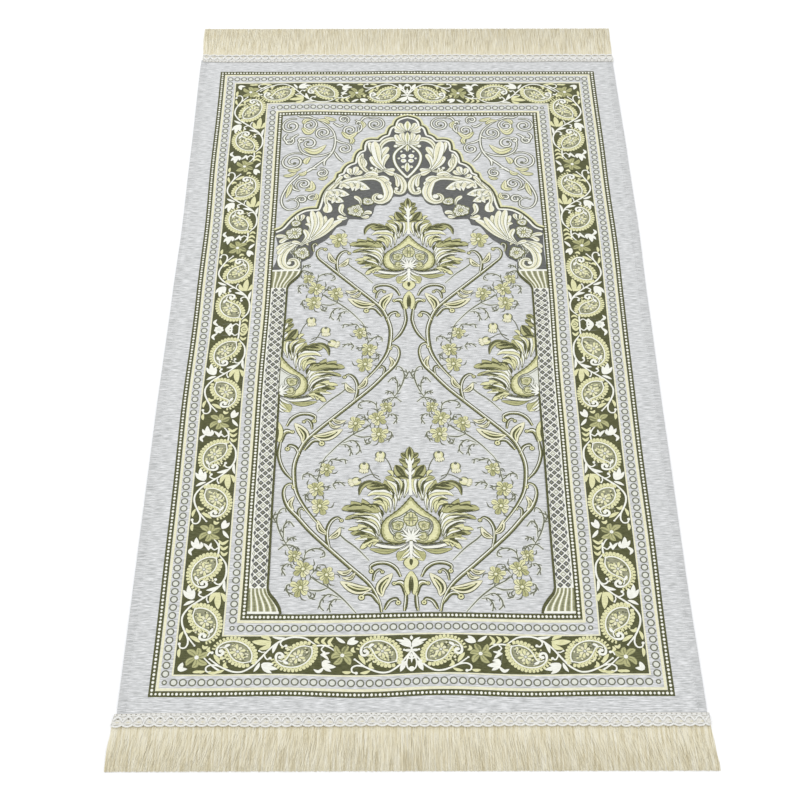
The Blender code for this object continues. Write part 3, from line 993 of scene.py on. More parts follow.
# Long leaves with round lobes down one side: how wide, how many lobes, and their spine from the root.
LOBED_LEAVES = (
    {"wide": 24, "lobes": 4, "path": ((98, 276), (82, 280), (68, 277), (55, 266))},
    {"wide": 20, "lobes": 3, "path": ((118, 262), (106, 263), (96, 261), (85, 254))},
    {"wide": 18, "lobes": 3, "path": ((120, 248), (112, 251), (102, 248), (93, 240))},
)
ARCH_LEAVES = (
    {"wide": 8, "path": ((166, 160), (176, 156), (187, 148))},
    {"wide": 8, "path": ((168, 152), (178, 148), (184, 137))},
    {"wide": 6, "path": ((150, 153), (158, 158), (166, 160))},
    {"wide": 6, "path": ((170, 168), (178, 173), (189, 174))},
    {"wide": 7, "path": ((168, 168), (176, 166), (183, 160))},
    {"wide": 6, "path": ((155, 201), (152, 207), (152, 214))},
    {"wide": 6, "path": ((157, 201), (160, 207), (161, 213))},
    {"wide": 9, "path": ((153, 154), (126, 173), (106, 196), (95, 203))},
    {"wide": 9, "path": ((140, 162), (121, 184), (108, 208))},
    {"wide": 8, "path": ((137, 166), (123, 190), (119, 212))},
    {"wide": 10, "path": ((139, 165), (127, 192), (130, 221))},
    {"wide": 9, "path": ((141, 165), (135, 195), (139, 222))},
    {"wide": 8, "path": ((142, 168), (139, 192), (145, 211))},
    {"wide": 6, "path": ((147, 160), (138, 176), (140, 192), (148, 195))},
    {"wide": 7, "path": ((151, 157), (144, 171), (149, 184))},
    {"wide": 13, "path": ((119, 240), (116, 231), (117, 218))},
    {"wide": 6, "path": ((107, 274), (103, 284), (96, 293))},
    {"wide": 8, "path": ((66, 291), (55, 299), (43, 295))},
    {"wide": 8, "path": ((46, 288), (37, 291), (27, 283))},
    {"wide": 6, "path": ((33, 279), (28, 280), (25, 274))},
    {"wide": 7, "path": ((90, 212), (97, 221), (95, 236))},
    {"wide": 9, "path": ((88, 208), (95, 207), (102, 211))},
    {"wide": 7, "path": ((66, 214), (59, 219), (52, 217))},
    {"wide": 6, "path": ((68, 211), (63, 209), (56, 211))},
    {"wide": 6, "path": ((68, 234), (70, 244), (78, 252))},
    {"wide": 8, "path": ((78, 296), (72, 299), (69, 305))},
    {"wide": 9, "path": ((80, 296), (77, 304), (76, 313))},
    {"wide": 8, "path": ((82, 296), (86, 302), (86, 310))},
    {"wide": 8, "path": ((84, 292), (89, 291), (92, 297))},
    {"wide": 14, "path": ((34, 308), (43, 326), (47, 346), (50, 367))},
    {"wide": 9, "path": ((40, 322), (49, 340), (58, 366))},
    {"wide": 9, "path": ((36, 306), (47, 318), (55, 335))},
    {"wide": 8, "path": ((36, 312), (34, 328), (28, 340))},
    {"wide": 10, "path": ((39, 324), (37, 341), (29, 356))},
    {"wide": 7, "path": ((34, 308), (26, 306), (18, 307))},
    {"wide": 8, "path": ((35, 305), (27, 300), (19, 296))},
    {"wide": 4, "path": ((34, 305), (42, 303), (50, 304))},
    {"wide": 6, "path": ((68, 334), (63, 322), (65, 311))},
    {"wide": 6, "path": ((20, 297), (15, 286), (14, 270))},
    {"wide": 8, "path": ((2, 391), (9, 399), (12, 409))},
    {"wide": 8, "path": ((4, 390), (13, 394), (19, 401))},
    {"wide": 6, "path": ((5, 388), (12, 388), (20, 391))},
    {"wide": 8, "path": ((1, 364), (8, 374), (8, 388))},
    {"wide": 8, "path": ((2, 364), (13, 370), (18, 383))},
    {"wide": 6, "path": ((2, 362), (10, 362), (18, 366))},
)
ARCH_MIDDLE_LEAVES = (
    {"wide": 10, "path": ((0, 390), (0.01, 401), (0, 413))},
    {"wide": 8, "path": ((0, 363), (0.01, 375), (0, 388))},
    {"wide": 6, "path": ((0, 345), (0.01, 351), (0, 360))},
    {"wide": 8, "path": ((0, 323), (0.01, 313), (0, 302))},
)
ARCH_FLORETS = (
    {"x": 162, "y": 177, "size": 13.5, "petals": 6, "turn": 0.2},
    {"x": 161, "y": 196, "size": 8, "petals": 5, "turn": 0.5},
    {"x": 150, "y": 138, "size": 12.5, "petals": 7, "turn": 0.1},
    {"x": 75, "y": 222, "size": 13.5, "petals": 8, "turn": 0.3},
    {"x": 58, "y": 240, "size": 9, "petals": 5, "turn": 0.9},
)
DROP_FRAME = ((0, 365), (7, 357), (16, 347), (20, 335), (17.5, 319), (10, 304), (0, 290))
DROP_SPOTS = (
    {"x": 6, "y": 336, "size": 4.6},
    {"x": 5.5, "y": 326, "size": 4.4},
    {"x": 9, "y": 346, "size": 2},
    {"x": 4, "y": 352, "size": 1.6},
    {"x": 12.5, "y": 331, "size": 2},
    {"x": 6, "y": 313, "size": 2.8},
)


def chain(parts):
    """The smooth parts of an outline as one line, with its cusps kept."""
    line = []
    for part in parts:
        line += curve(part)[1 if line else 0 :]
    return line


def floret(at, row, level, petal="ivory", heart="gold"):
    """A small round flower of separate petals of uneven length, each with its own dark edge."""
    x, y, size, petals = row["x"], row["y"], row["size"], row["petals"]
    wide = 3.6 * size / petals

    def petal_shape(t):
        return math.sin(math.pi * min(1.0, t**1.5))

    for k in range(petals):
        angle = row["turn"] + math.tau * k / petals
        reach = size * (1.0, 0.86, 0.97, 0.8, 0.92)[k % 5]
        spine = curve(ray(x, y, angle, reach, (0.1, 0.6, 1.0)))
        strip(at, "moss", level, spine, lambda t: 1.0 + (wide + 2.0) * petal_shape(t) ** 0.5)
        strip(at, petal, level + 1, spine[:-1], lambda t: 0.1 + wide * petal_shape(t) ** 0.55)
        for aside in (-0.2, 0.2):
            vein = beside(spine, aside * wide)[1:-2]
            strip(at, "dim", level + 2, vein, lambda t: 0.1 * wide + 0.12 * wide * math.sin(math.pi * t))
    disc(at, "moss", level + 3, x, y, 0.3 * size, sides=7)
    disc(at, heart, level + 4, x + 0.3, y - 0.2, 0.2 * size, sides=7)
    disc(at, "moss", level + 5, x - 0.2, y + 0.3, 0.09 * size, sides=6)


def ribbon(at, yarn, level, left, middle, right):
    """A crowned float between two lines, with its crown along a third."""
    points = []
    for sides in zip(left, middle, right):
        for k, (x, y) in enumerate(sides):
            points.append((*at(x, y), level * YARN_STEP + YARN_CROWN * (k == 1)))
    faces = []
    for i in range(len(middle) - 1):
        a, b = 3 * i, 3 * i + 3
        faces += [[a, a + 1, b + 1, b], [a + 1, a + 2, b + 2, b + 1]]
    weave(yarn, points, faces)


def ragged(at, yarn, level, points, wide, teeth, side=1, edge=None, rim=1.1, core=None, round_lobes=False):
    """A leaf with teeth, or round lobes, down one side of its spine: its left where side is 1."""
    line = curve(points, 0.9)

    def narrow(t):
        return 0.5 * wide * math.sin(math.pi * t**0.9) ** 0.7

    def toothed(t):
        if round_lobes:
            return narrow(t) * (0.75 + 0.75 * abs(math.sin(math.pi * t * teeth)) ** 0.7)
        return narrow(t) * (0.55 + 0.85 * (t * teeth % 1.0))

    def lie(above, colour, more):
        left = beside(line, lambda t: side * (toothed(t) + more * smooth(9 * min(t, 1 - t))))
        right = beside(line, lambda t: -side * ((0.3 if round_lobes else 0.8) * narrow(t) + more))
        ribbon(at, colour, above, left, line, right)

    if edge:
        lie(level, edge, rim)
    lie(level + 1, yarn, 0.0)
    if core:

        def stepped(t):
            return 0.22 * wide * math.sin(math.pi * t) * (0.4 + 0.6 * (t * teeth % 1.0))

        inner = beside(line, lambda t: side * 0.42 * toothed(t))[5:-7]
        strip(at, core, level + 2, inner, stepped)
        strip(at, core, level + 2, beside(line, -side * 0.22 * wide)[9:-9], 0.9)
    return line, toothed


def lobed_leaf(at, row, level):
    """A long acanthus leaf: round lobes, a cream blade in each, and a crease up to each notch."""
    line, toothed = ragged(
        at, "ivory", level, row["path"], row["wide"], row["lobes"], edge="moss", rim=1.0, round_lobes=True
    )
    for share in (0.16, 0.34, 0.52):
        fold = beside(line, lambda t: share * toothed(t))
        strip(at, "dim", level + 2, fold[3:-4], lambda t: 0.5 + 0.5 * math.sin(math.pi * t))
    for k in range(row["lobes"]):
        places = [(k + share) / row["lobes"] for share in (0.1, 0.55, 1.0)]
        root, middle, notch = [round((len(line) - 1) * place) for place in places]
        tip = beside(line, lambda t: 0.72 * toothed(t))[middle]
        bend = beside(line, lambda t: 0.3 * toothed(t))[(root + middle) // 2]
        leaf(at, "cream", level + 2, (line[root], bend, tip), 0.2 * row["wide"], full=1.2)
        if k < row["lobes"] - 1:
            crease = beside(line, lambda t: 0.9 * toothed(t))[notch]
            stroke(at, "moss", level + 3, (line[root], line[middle], crease), (0.4, 0.9, 1.3))


def scroll(at, row):
    """A scrolling acanthus stem: white, with cream in its folds and a dark line along its middle."""
    line = curve(row["path"])
    strip(at, "moss", 4, line, lambda t: spread(row["widths"], t) + 1.8)
    strip(at, "ivory", 5, line, lambda t: spread(row["widths"], t))
    for share in (-0.22, 0.16):
        fold = beside(line, lambda t: share * spread(row["widths"], t))
        strip(at, "cream", 6, fold[2:-2], lambda t: 0.24 * spread(row["widths"], t))
    strip(at, "moss", 7, line[2:-3], 0.9)
    if row["bulb"]:
        disc(at, "moss", 7, *line[-1], row["bulb"] + 0.8)
        disc(at, "ivory", 8, *line[-1], row["bulb"])


for sign in (-1, 1):
    at = half_place(sign)
    outer, inner = chain(ARCH_OUTER), chain(ARCH_INNER)
    patch(at, "smoke", 1, [(COLUMN_OUT, ARCH_FOOT)] + outer + inner[::-1][:-1])
    strip(at, "olive", 3, outer, ARCH_LINE)
    strip(at, "gold", 3, beside(outer, -ARCH_LINE - 0.4), ARCH_LINE)
    strip(at, "ivory", 3, beside(outer, ARCH_LINE + 0.4), 3.0)
    strip(at, "smoke", 3, beside(inner, -0.8), 2.0)
    for row in SCROLLS:
        scroll(at, row)
    for k, row in enumerate(ARCH_LEAVES):
        level = 4 + 3 * (k % 3)
        leaf(at, "ivory", level, row["path"], row["wide"], "moss", 0.9, "cream", 0.16, "moss", blunt=True)
    for k, row in enumerate(LOBED_LEAVES):
        lobed_leaf(at, row, 7 + 4 * (k % 2))
    for row in ARCH_FLORETS:
        floret(at, row, 13)
    drop = curve(DROP_FRAME)
    strip(at, "moss", 6, drop, 5.2)
    strip(at, "ivory", 7, drop, 3.2)
    for row in DROP_SPOTS:
        disc(at, "ivory", 6, row["x"], row["y"], row["size"])
        disc(at, "gold", 7, row["x"] + 0.8, row["y"] + 0.5, 0.45 * row["size"], sides=6)

for row in ARCH_MIDDLE_LEAVES:
    leaf(plain, "ivory", 7, row["path"], row["wide"], "moss", 0.8, "gold", 0.0, "moss", full=1.1)


# ---- Spandrels ---------------------------------------------------------------------------------------
# The two corners over the niche, filled with thin dark scrolls on the silver ground, with a white thread
# along each and a few gold crescent leaves, all in floats of yarn. Drawn for the left half.

SPANDREL_LINES = (
    ((-177, 243), (-168, 247), (-160, 240), (-161, 229), (-172, 225.5), (-181, 233), (-184.5, 247),
     (-181, 263), (-173, 280), (-160, 296), (-145, 306), (-132, 320), (-118, 335), (-110.5, 352),
     (-109, 372), (-113, 390), (-124, 404), (-138, 415), (-152, 420)),
    ((-168, 424), (-160, 420), (-150, 421), (-141, 415)),
    ((-111, 380), (-113, 377), (-119, 373.5)),
    ((-112, 346), (-126, 338), (-142, 336), (-156, 343), (-163, 354)),
    ((-150, 303), (-143, 309), (-134, 309)),
    ((-172, 280), (-167, 268), (-158, 263)),
    ((-120, 331), (-124, 324), (-124, 315)),
    ((-110, 345), (-104, 333), (-96, 323)),
    ((-110, 372), (-101, 366), (-94, 364)),
    ((-113, 408), (-103, 400), (-97, 404)),
    ((-86, 376), (-86, 369), (-81, 361)),
    ((-78, 384), (-70, 395), (-71, 408), (-80, 415)),
    ((-72, 411), (-66, 420), (-58, 422)),
    ((-181, 387), (-186, 378), (-182, 368)),
    ((-164, 384), (-172, 378), (-176, 371)),
)
# Spirals wind in from their outer end, at an angle in degrees, for so many turns (below 0 is clockwise).
TURN_STEPS = 26
SPIRALS = (
    {"x": -176, "y": 402, "reach": 16, "start": 60, "turns": 1.55},
    {"x": -149, "y": 402, "reach": 14, "start": 120, "turns": -1.4},
    {"x": -127, "y": 386, "reach": 14, "start": -40, "turns": -1.5},
    {"x": -149, "y": 363, "reach": 16, "start": 230, "turns": -1.35},
    {"x": -170, "y": 325, "reach": 20, "start": 45, "turns": 1.7},
    {"x": -127, "y": 300, "reach": 10, "start": 110, "turns": -1.3},
    {"x": -87, "y": 392, "reach": 14, "start": 40, "turns": -1.5},
    {"x": -97, "y": 415, "reach": 9, "start": -60, "turns": 1.3},
    {"x": -49, "y": 406, "reach": 16, "start": 130, "turns": -1.7},
    {"x": -95, "y": 352, "reach": 12, "start": 100, "turns": -1.3},
    {"x": -153, "y": 277, "reach": 13, "start": 230, "turns": -1.4},
    {"x": -155, "y": 245, "reach": 9, "start": 200, "turns": -1.3},
    {"x": -140, "y": 249, "reach": 7, "start": 20, "turns": 1.2},
    {"x": -178, "y": 370, "reach": 8, "start": 90, "turns": -1.3},
    {"x": -72, "y": 407, "reach": 6, "start": 200, "turns": -1.1},
    {"x": -160, "y": 370, "reach": 6, "start": 0, "turns": 1.1},
)
SPANDREL_LEAVES = (
    {"wide": 8, "path": ((-160, 397), (-150, 386), (-139, 395))},
    {"wide": 10, "path": ((-156, 352), (-138, 345), (-122, 360))},
    {"wide": 8, "path": ((-100, 388), (-88, 377), (-75, 389))},
    {"wide": 6, "path": ((-158, 404), (-155, 412), (-146, 414))},
    {"wide": 8, "path": ((-151, 318), (-151, 326), (-145, 333))},
    {"wide": 8, "path": ((-151, 264), (-140, 268), (-142, 284))},
    {"wide": 6, "path": ((-118, 405), (-126, 412), (-137, 413))},
    {"wide": 6, "path": ((-108, 413), (-118, 415), (-127, 420))},
    {"wide": 6, "path": ((-172, 278), (-174, 264), (-178, 250))},
    {"wide": 6, "path": ((-184, 297), (-174, 297), (-164, 302))},
    {"wide": 6, "path": ((-162, 298), (-154, 298), (-150, 305))},
    {"wide": 5, "path": ((-138, 244), (-133, 250), (-134, 258))},
    {"wide": 6, "path": ((-86, 362), (-83, 370), (-89, 378))},
    {"wide": 6, "path": ((-178, 308), (-168, 306), (-158, 310))},
    {"wide": 5, "path": ((-71, 412), (-66, 404), (-68, 396))},
    {"wide": 5, "path": ((-132, 288), (-124, 288), (-118, 293))},
)


def spiral(row):
    """A spiral's line, from its outer end in to its eye."""
    line = []
    steps = round(TURN_STEPS * abs(row["turns"]))
    for k in range(steps + 1):
        angle = math.radians(row["start"]) + math.tau * row["turns"] * k / steps
        reach = row["reach"] * (1 - 0.8 * (k / steps) ** 0.9)
        line.append((row["x"] + reach * math.cos(angle), row["y"] + reach * math.sin(angle)))
    return line


for sign in (1, -1):
    at = half_place(sign)
    for line in [curve(row) for row in SPANDREL_LINES] + [spiral(row) for row in SPIRALS]:
        strip(at, "ash", 2, line, lambda t: 3.1 + 2.4 * math.sin(math.pi * t) ** 0.6)
        strip(at, "ivory", 3, line, lambda t: 0.5 + 1.7 * math.sin(math.pi * t) ** 0.6)
    for row in SPIRALS:
        disc(at, "ash", 4, *spiral(row)[-1], 0.11 * row["reach"] + 0.6, sides=7)
    for row in SPANDREL_LEAVES:
        leaf(at, "gold", 4, row["path"], row["wide"], "ash", 1.3, "cream", 0.15, "moss")


# ---- Field -------------------------------------------------------------------------------------------
# One large unit, set in rows that step by half: a crowned palmette over a lily, between two stems that bow
# apart and curl back, with leaves, tendrils and sprays of gold flowers. One stands at the near end, one
# under the niche, and half of one against each column. Drawn for the right half, from the palmette's heart.

UNIT_NEAR = (0.0, -327.0)
UNIT_FAR = (0.0, 113.0)
UNIT_SIDE = (168.6, -107.5)
UNIT_TALLER = {"left": 1, "right": 8}

# A palmette's petals, from the lowest up: colour, width, teeth and the side they are on (1 is the left,
# going out), the core's colour and how far it leans to the left, and the spine.
PETALS = (
    {"yarn": "dull_gold", "wide": 6, "path": ((14, -14), (30, -18), (50, -14))},
    {"yarn": "ivory", "wide": 3.8,
     "path": ((3, -6), (15, -12), (32, -11), (46, -8), (58, -12))},
    {"yarn": "gold", "wide": 10, "teeth": 3, "side": -1, "path": ((38, -3), (50, -5), (61, -14))},
    {"yarn": "ivory", "wide": 6, "core": "gold", "lean": 0.1, "path": ((34, -4), (50, 2), (68, -1))},
    {"yarn": "dull_gold", "wide": 10, "teeth": 3, "side": -1, "path": ((40, 0), (54, 8), (73, 8))},
    {"yarn": "ivory", "wide": 6, "core": "gold", "lean": 0.1, "path": ((39, 0), (48, 10), (64, 14))},
    {"yarn": "gold", "wide": 9, "teeth": 3, "side": 1, "path": ((44, 6), (56, 15), (76, 13))},
    {"yarn": "ivory", "wide": 7, "path": ((38, 3), (42, 17), (54, 25), (67, 24))},
    {"yarn": "ivory", "wide": 7, "core": "gold", "lean": -0.2,
     "path": ((36, 6), (41, 22), (52, 29), (73, 30))},
    {"yarn": "dull_gold", "wide": 7, "teeth": 2, "side": 1, "path": ((52, 29), (66, 32), (80, 28))},
    {"yarn": "ivory", "wide": 6, "core": "gold", "lean": -0.2,
     "path": ((36, 16), (42, 31), (54, 36), (70, 35))},
    {"yarn": "dull_gold", "wide": 17, "teeth": 4, "side": 1, "path": ((38, 38), (58, 45), (84, 42))},
    {"yarn": "gold", "wide": 6, "path": ((36, 30), (40, 42), (52, 46), (66, 44))},
    {"yarn": "ivory", "wide": 6, "path": ((34, 24), (42, 38), (57, 41))},
    {"yarn": "gold", "wide": 7, "path": ((30, 36), (33, 50), (46, 52))},
    {"yarn": "ivory", "wide": 7, "core": "gold", "lean": -0.2,
     "path": ((25, 37), (27, 54), (36, 60), (46, 57))},
    {"yarn": "dull_gold", "wide": 17, "teeth": 4, "side": 1, "path": ((20, 62), (31, 72.5), (54, 74.5))},
    {"yarn": "ivory", "wide": 8, "core": "gold", "lean": -0.2,
     "path": ((20, 40), (20, 57), (28, 65), (44, 66), (53, 61))},
    {"yarn": "dull_gold", "wide": 5.5, "core": "olive", "lean": 0.2,
     "path": ((30, 76), (50, 81), (60, 74), (63, 62))},
    {"yarn": "ivory", "wide": 6, "path": ((16, 54), (18, 69), (28, 80))},
    {"yarn": "ivory", "wide": 7, "core": "gold", "lean": -0.2, "path": ((17, 60), (19, 74), (29, 84))},
    {"yarn": "dull_gold", "wide": 7, "path": ((15, 82), (22, 87), (31, 88))},
    {"yarn": "ivory", "wide": 7, "core": "gold", "lean": 0.2,
     "path": ((14, 54), (12, 71), (14, 83), (22, 89))},
    {"yarn": "gold", "wide": 4, "path": ((21, 90), (23, 96), (28, 98))},
    {"yarn": "ivory", "wide": 7, "core": "gold", "lean": 0.2, "path": ((8, 58), (4, 76), (6, 87), (14, 91))},
    {"yarn": "dull_gold", "wide": 14.5, "core": "olive", "lean": 0.04,
     "path": ((3, 86), (10, 94), (18, 107))},
)
# The dark shading between them.
ACCENTS = (
    {"wide": 3.4, "path": ((42, 1), (46, 14), (57, 22), (67, 23))},
    {"wide": 3.2, "path": ((46, 0), (52, -3), (58, -7))},
    {"wide": 4, "path": ((54, 8), (61, 8), (68, 6))},
    {"wide": 2.4, "path": ((51, 15), (57, 14), (62, 11))},
    {"wide": 3.4, "path": ((49, 26), (62, 30), (75, 29))},
    {"wide": 2.2, "path": ((46, 32), (56, 33), (67, 32))},
    {"wide": 4.2, "path": ((52, 38), (63, 38.5), (78, 41))},
    {"wide": 3.2, "path": ((35, 30), (34.5, 37), (38, 43))},
    {"wide": 2.4, "path": ((37, 43), (43, 48.5), (57, 48))},
    {"wide": 3, "path": ((62, 47), (69, 48), (76, 45))},
    {"wide": 3.6, "path": ((24, 65), (30, 71.5), (38, 71), (49, 70))},
    {"wide": 2.2, "path": ((27, 72), (34, 77), (42, 77))},
    {"wide": 2.6, "path": ((36, 79), (43, 80), (50, 78))},
    {"wide": 2.8, "path": ((33, 51), (38, 57), (46, 55))},
    {"wide": 2.8, "path": ((38, 47), (42, 49), (46, 49))},
    {"wide": 2.6, "path": ((22, 55), (21, 64), (25, 69))},
    {"wide": 3.2, "path": ((12, 63), (8.5, 75), (9, 84))},
    {"wide": 3.8, "path": ((15, 62), (15, 77), (20, 86))},
    {"wide": 3, "path": ((37, 74.5), (43, 75.5), (50, 74.5))},
    {"wide": 3.4, "path": ((1.5, 87), (9, 90), (19, 88))},
    {"wide": 2.4, "path": ((3, -3), (16, -8), (34, -6), (46, -4))},
)
CROWN = (
    {"yarn": "dull_gold", "wide": 7, "core": "olive", "lean": 0, "path": ((1, 117), (6, 121), (11, 125))},
    {"yarn": "dull_gold", "wide": 7, "core": "olive", "lean": 0, "path": ((1, 109), (7, 112), (13, 116))},
    {"yarn": "dull_gold", "wide": 4, "path": ((1, 102), (5, 105), (9, 109))},
    {"yarn": "ivory", "wide": 3, "path": ((0, 98), (3, 103), (5, 109))},
    {"yarn": "ivory", "wide": 3, "path": ((0, 90), (3, 95), (6, 100))},
    {"yarn": "ivory", "wide": 2.6, "path": ((0, 106), (3, 111), (5, 117))},
)
RIBS = (
    {"yarn": "gold", "wide": 13, "core": "dull_gold", "lean": 0.2, "path": ((3, -14), (10, -22), (15, -31))},
    {"yarn": "ivory", "wide": 2.5, "path": ((0, -21), (3, -27), (8, -31))},
    {"yarn": "ivory", "wide": 2.5, "path": ((0, -16), (4, -23), (11, -28))},
    {"yarn": "ivory", "wide": 2.5, "path": ((0, -11), (5, -18), (13, -23))},
    {"yarn": "ivory", "wide": 2.5, "path": ((0, -6), (6, -13), (15, -18))},
)
HEART = ((0, 60), (7, 50), (15, 41), (23, 34), (30, 28), (35, 20), (36, 10), (33, 0), (26, -5), (16, -7),
         (0, -4))
HEART_TEETH = 17
HEART_INNER = ((0, 42), (7, 36), (14, 31), (21, 28), (26, 22), (26, 12), (21, 4), (12, 1), (0, 1))
TOP_ROSETTE = {"x": 0, "y": 27, "size": 11.0, "petals": 4, "turn": 1.57}
HEART_ROSETTES = (
    {"x": 15.5, "y": 18, "size": 8.4, "petals": 6, "turn": 0.4},
    {"x": 14, "y": 3, "size": 6.4, "petals": 5, "turn": 0.9},
)
HEART_RAYS = (
    {"reach": 9, "turn": -0.7},
    {"reach": 11, "turn": -0.15},
    {"reach": 14, "turn": 0.4},
    {"reach": 18, "turn": 0.9},
    {"reach": 15, "turn": 1.3},
)

STEM = ((30, -156), (26, -140), (24.5, -116), (28, -98), (36, -78), (50, -61), (75, -36), (98, -13),
        (120, 10), (136, 30), (149, 46), (155, 63), (153.5, 75), (147, 79), (143, 74))
STEM_FOOT = ((34, -100), (38, -83), (50, -61))
STEM_TAIL = ((58, -200), (48, -187), (38, -172), (30, -156))
STEM_CUT = ((98, -13), (115, 4), (127, 17), (129, 28), (124, 34.5), (118, 33))

TENDRILS = (
    {"wide": 4, "bulb": 2, "path": ((97, -15), (100.5, 0), (100.5, 14), (96, 25), (89, 30), (84, 26))},
    {"wide": 4.6, "bulb": 2.6, "path": ((12, -53), (18, -41), (28, -34), (40, -33.5), (48, -38), (47, -45))},
    {"wide": 4.4, "bulb": 3.4, "path": ((36, -90), (45, -77), (53, -75), (58, -80))},
    {"wide": 4, "bulb": 2.8, "path": ((31, -97), (25, -86), (17.5, -83), (15, -88))},
    {"wide": 3, "bulb": 0, "path": ((134, 28), (136, 40), (132, 44), (129, 40))},
    {"wide": 3, "bulb": 1.8, "path": ((45, -58), (43, -48), (38, -43), (34, -46))},
)
BIG_LEAVES = (
    {"wide": 14, "path": ((46, -69), (64, -69), (84, -58))},
    {"wide": 14, "path": ((34, -80), (35, -66), (22, -48))},
    {"wide": 8, "path": ((100, 6), (109, 14), (113, 27))},
    {"wide": 8, "path": ((99, 1), (90, 6), (85, 16))},
    {"wide": 6, "path": ((142, 40), (147, 50), (142, 61))},
    {"wide": 6, "path": ((70, -42), (79, -47), (88, -44))},
    {"wide": 5, "path": ((66, -46), (72, -54), (82, -53))},
)
STALKS = (
    ((50, -30), (65, -13), (80, 0), (87, 9), (86, 16), (81, 15)),
    ((64, -100), (80, -81), (97, -66), (110, -58), (119, -51)),
    ((97, -66), (108, -70), (119, -69)),
    ((97, -66), (99, -60), (100, -56)),
)
SPRIGS = (
    ((140, -36), (148, -34), (153, -41), (149, -49)),
    ((139, -60), (146, -63), (145, -71), (139, -75)),
    ((121, -75), (118, -80), (113, -78), (115, -74)),
    ((128, -30), (125, -18), (115, -13), (105, -16), (103, -23), (108, -25)),
    ((85, -79), (97, -75), (105, -83), (106, -91), (102, -96)),
    ((82, -82), (90, -82), (95, -90), (94, -98)),
    ((118, -48), (112, -40), (108, -38)),
    ((132, -34), (138, -12), (150, -8), (158, -14)),
    ((144, -16), (156, 6), (162, 26), (159, 40), (153, 44), (151, 39)),
    ((153, 2), (153, 18), (147, 25), (141, 18)),
    ((160, 20), (166, 30), (164, 38)),
    ((150, -6), (144, 2), (138, 0)),
)
FLOWERS = (
    {"x": 130, "y": -66, "size": 12.5, "turn": 0.4},
    {"x": 128, "y": -41, "size": 12, "turn": 1},
    {"x": 100, "y": -49, "size": 11.5, "turn": 0.1},
    {"x": 139, "y": -23, "size": 9, "turn": 0.7},
)
ARCH_FLOWER = {"x": 98, "y": 52, "size": 14.5, "turn": 0.35}
HANGING_FLOWERS = (
    {"x": 65, "y": -119, "size": 10, "turn": 0.2},
    {"x": 53, "y": -148, "size": 11.5, "turn": 0.8},
    {"x": 58, "y": -173, "size": 12.5, "turn": 0.5},
)
HANGING_LINES = (
    ((64, -100), (59, -110), (57, -122), (54, -136)),
    ((66, -112), (71, -104), (79, -105), (87, -104), (89, -110)),
    ((36, -134), (37, -127), (45, -126), (52, -133)),
    ((77, -148), (74, -141), (82, -138), (88, -143)),
    ((54, -136), (60, -143), (70, -146)),
    ((44, -152), (40, -160), (46, -166)),
)
SPRIG_LEAF = 3.8
BUDS = (
    {"x": 37, "y": 119, "turn": -1.45, "stem": ((20, 88), (25, 108), (31, 119), (36, 126))},
    {"x": 57, "y": 102, "turn": -1.5, "stem": ((36, 84), (44, 90), (50, 102), (56, 110))},
    {"x": 69, "y": 82, "turn": -0.35, "stem": ((38, 90), (48, 93), (62, 86))},
)
LILY_FOOT = ((6, -76), (6.5, -88), (8, -99))
LILY_TAIL = ((6, -74), (5, -86), (4.5, -97), (8, -111), (14, -123), (23, -134))


def outlined(at, points, wide, bulb=0.0):
    """A stem: a dark line down each side of a gold one, with a white and a mossy thread in it."""
    line = curve(points)

    def breadth(t):
        return wide * (0.5 + 0.5 * smooth(4 * min(t, 1 - t)))

    strip(at, "olive", 3, beside(line, -0.2), lambda t: breadth(t) + 1.3)
    strip(at, "gold", 4, beside(line, 0.1), lambda t: 0.62 * breadth(t) - 0.3)
    strip(at, "ivory", 5, beside(line, 0.14 * wide)[2:-2], lambda t: 0.3 * breadth(t))
    strip(at, "moss", 6, beside(line, -0.12 * wide)[2:-2], 0.9)
    if bulb:
        disc(at, "olive", 4, *line[-1], bulb + 1.1)
        disc(at, "gold", 5, *line[-1], bulb)
        disc(at, "olive", 7, *line[-1], 0.36 * bulb, sides=6)


def fan(at, rows, level, rim=1.0):
    """Petals that overlap their neighbours, each with a dark edge."""
    for k, row in enumerate(rows):
        above = level + 3 * (k % 3)
        if "teeth" in row:
            core = "olive" if row["wide"] > 9 else None
            ragged(at, row["yarn"], above, row["path"], row["wide"], row["teeth"], row["side"], "olive",
                   rim, core)
        else:
            vein = "moss" if row["wide"] > 5 else None
            leaf(at, row["yarn"], above, row["path"], row["wide"], "olive", rim, row.get("core"),
                 row.get("lean", 0), vein, full=1.15)


def palmette(at):
    """The crowned palmette's right half: fanned petals, a heart-shaped middle and a ribbed calyx."""
    fan(at, PETALS, 2)
    fan(at, CROWN, 3)
    fan(at, RIBS, 3, rim=0.9)
    for row in ACCENTS:
        stroke(at, "olive", 11, row["path"], (0.5, row["wide"], 0.8 * row["wide"], 0.4))
    rim = curve(HEART, 1.2)
    patch(at, "gold", 12, rim)
    strip(at, "dull_gold", 13, beside(rim, -1.2), lambda t: 2.2 + 4.0 * (t * HEART_TEETH % 1.0))
    strip(at, "olive", 14, rim, lambda t: 0.9 + 1.3 * (t * HEART_TEETH % 1.0))
    inner = curve(HEART_INNER)
    patch(at, "pale", 13, inner)
    strip(at, "ash", 14, inner, 1.5)
    strip(at, "ash", 15, beside(inner, -2.6)[:-8], 0.8)
    for row in HEART_ROSETTES:
        ring(at, "ash", 14, row["x"], row["y"], 1.16 * row["size"], 0.9)
        floret(at, row, 15, "gold", "dull_gold")
    for row in HEART_RAYS:
        spine = ray(0, 0, row["turn"], row["reach"], (0.1, 0.5, 1.0))
        leaf(at, "ivory", 21, spine, 2.6, edge="ash", rim=0.8)


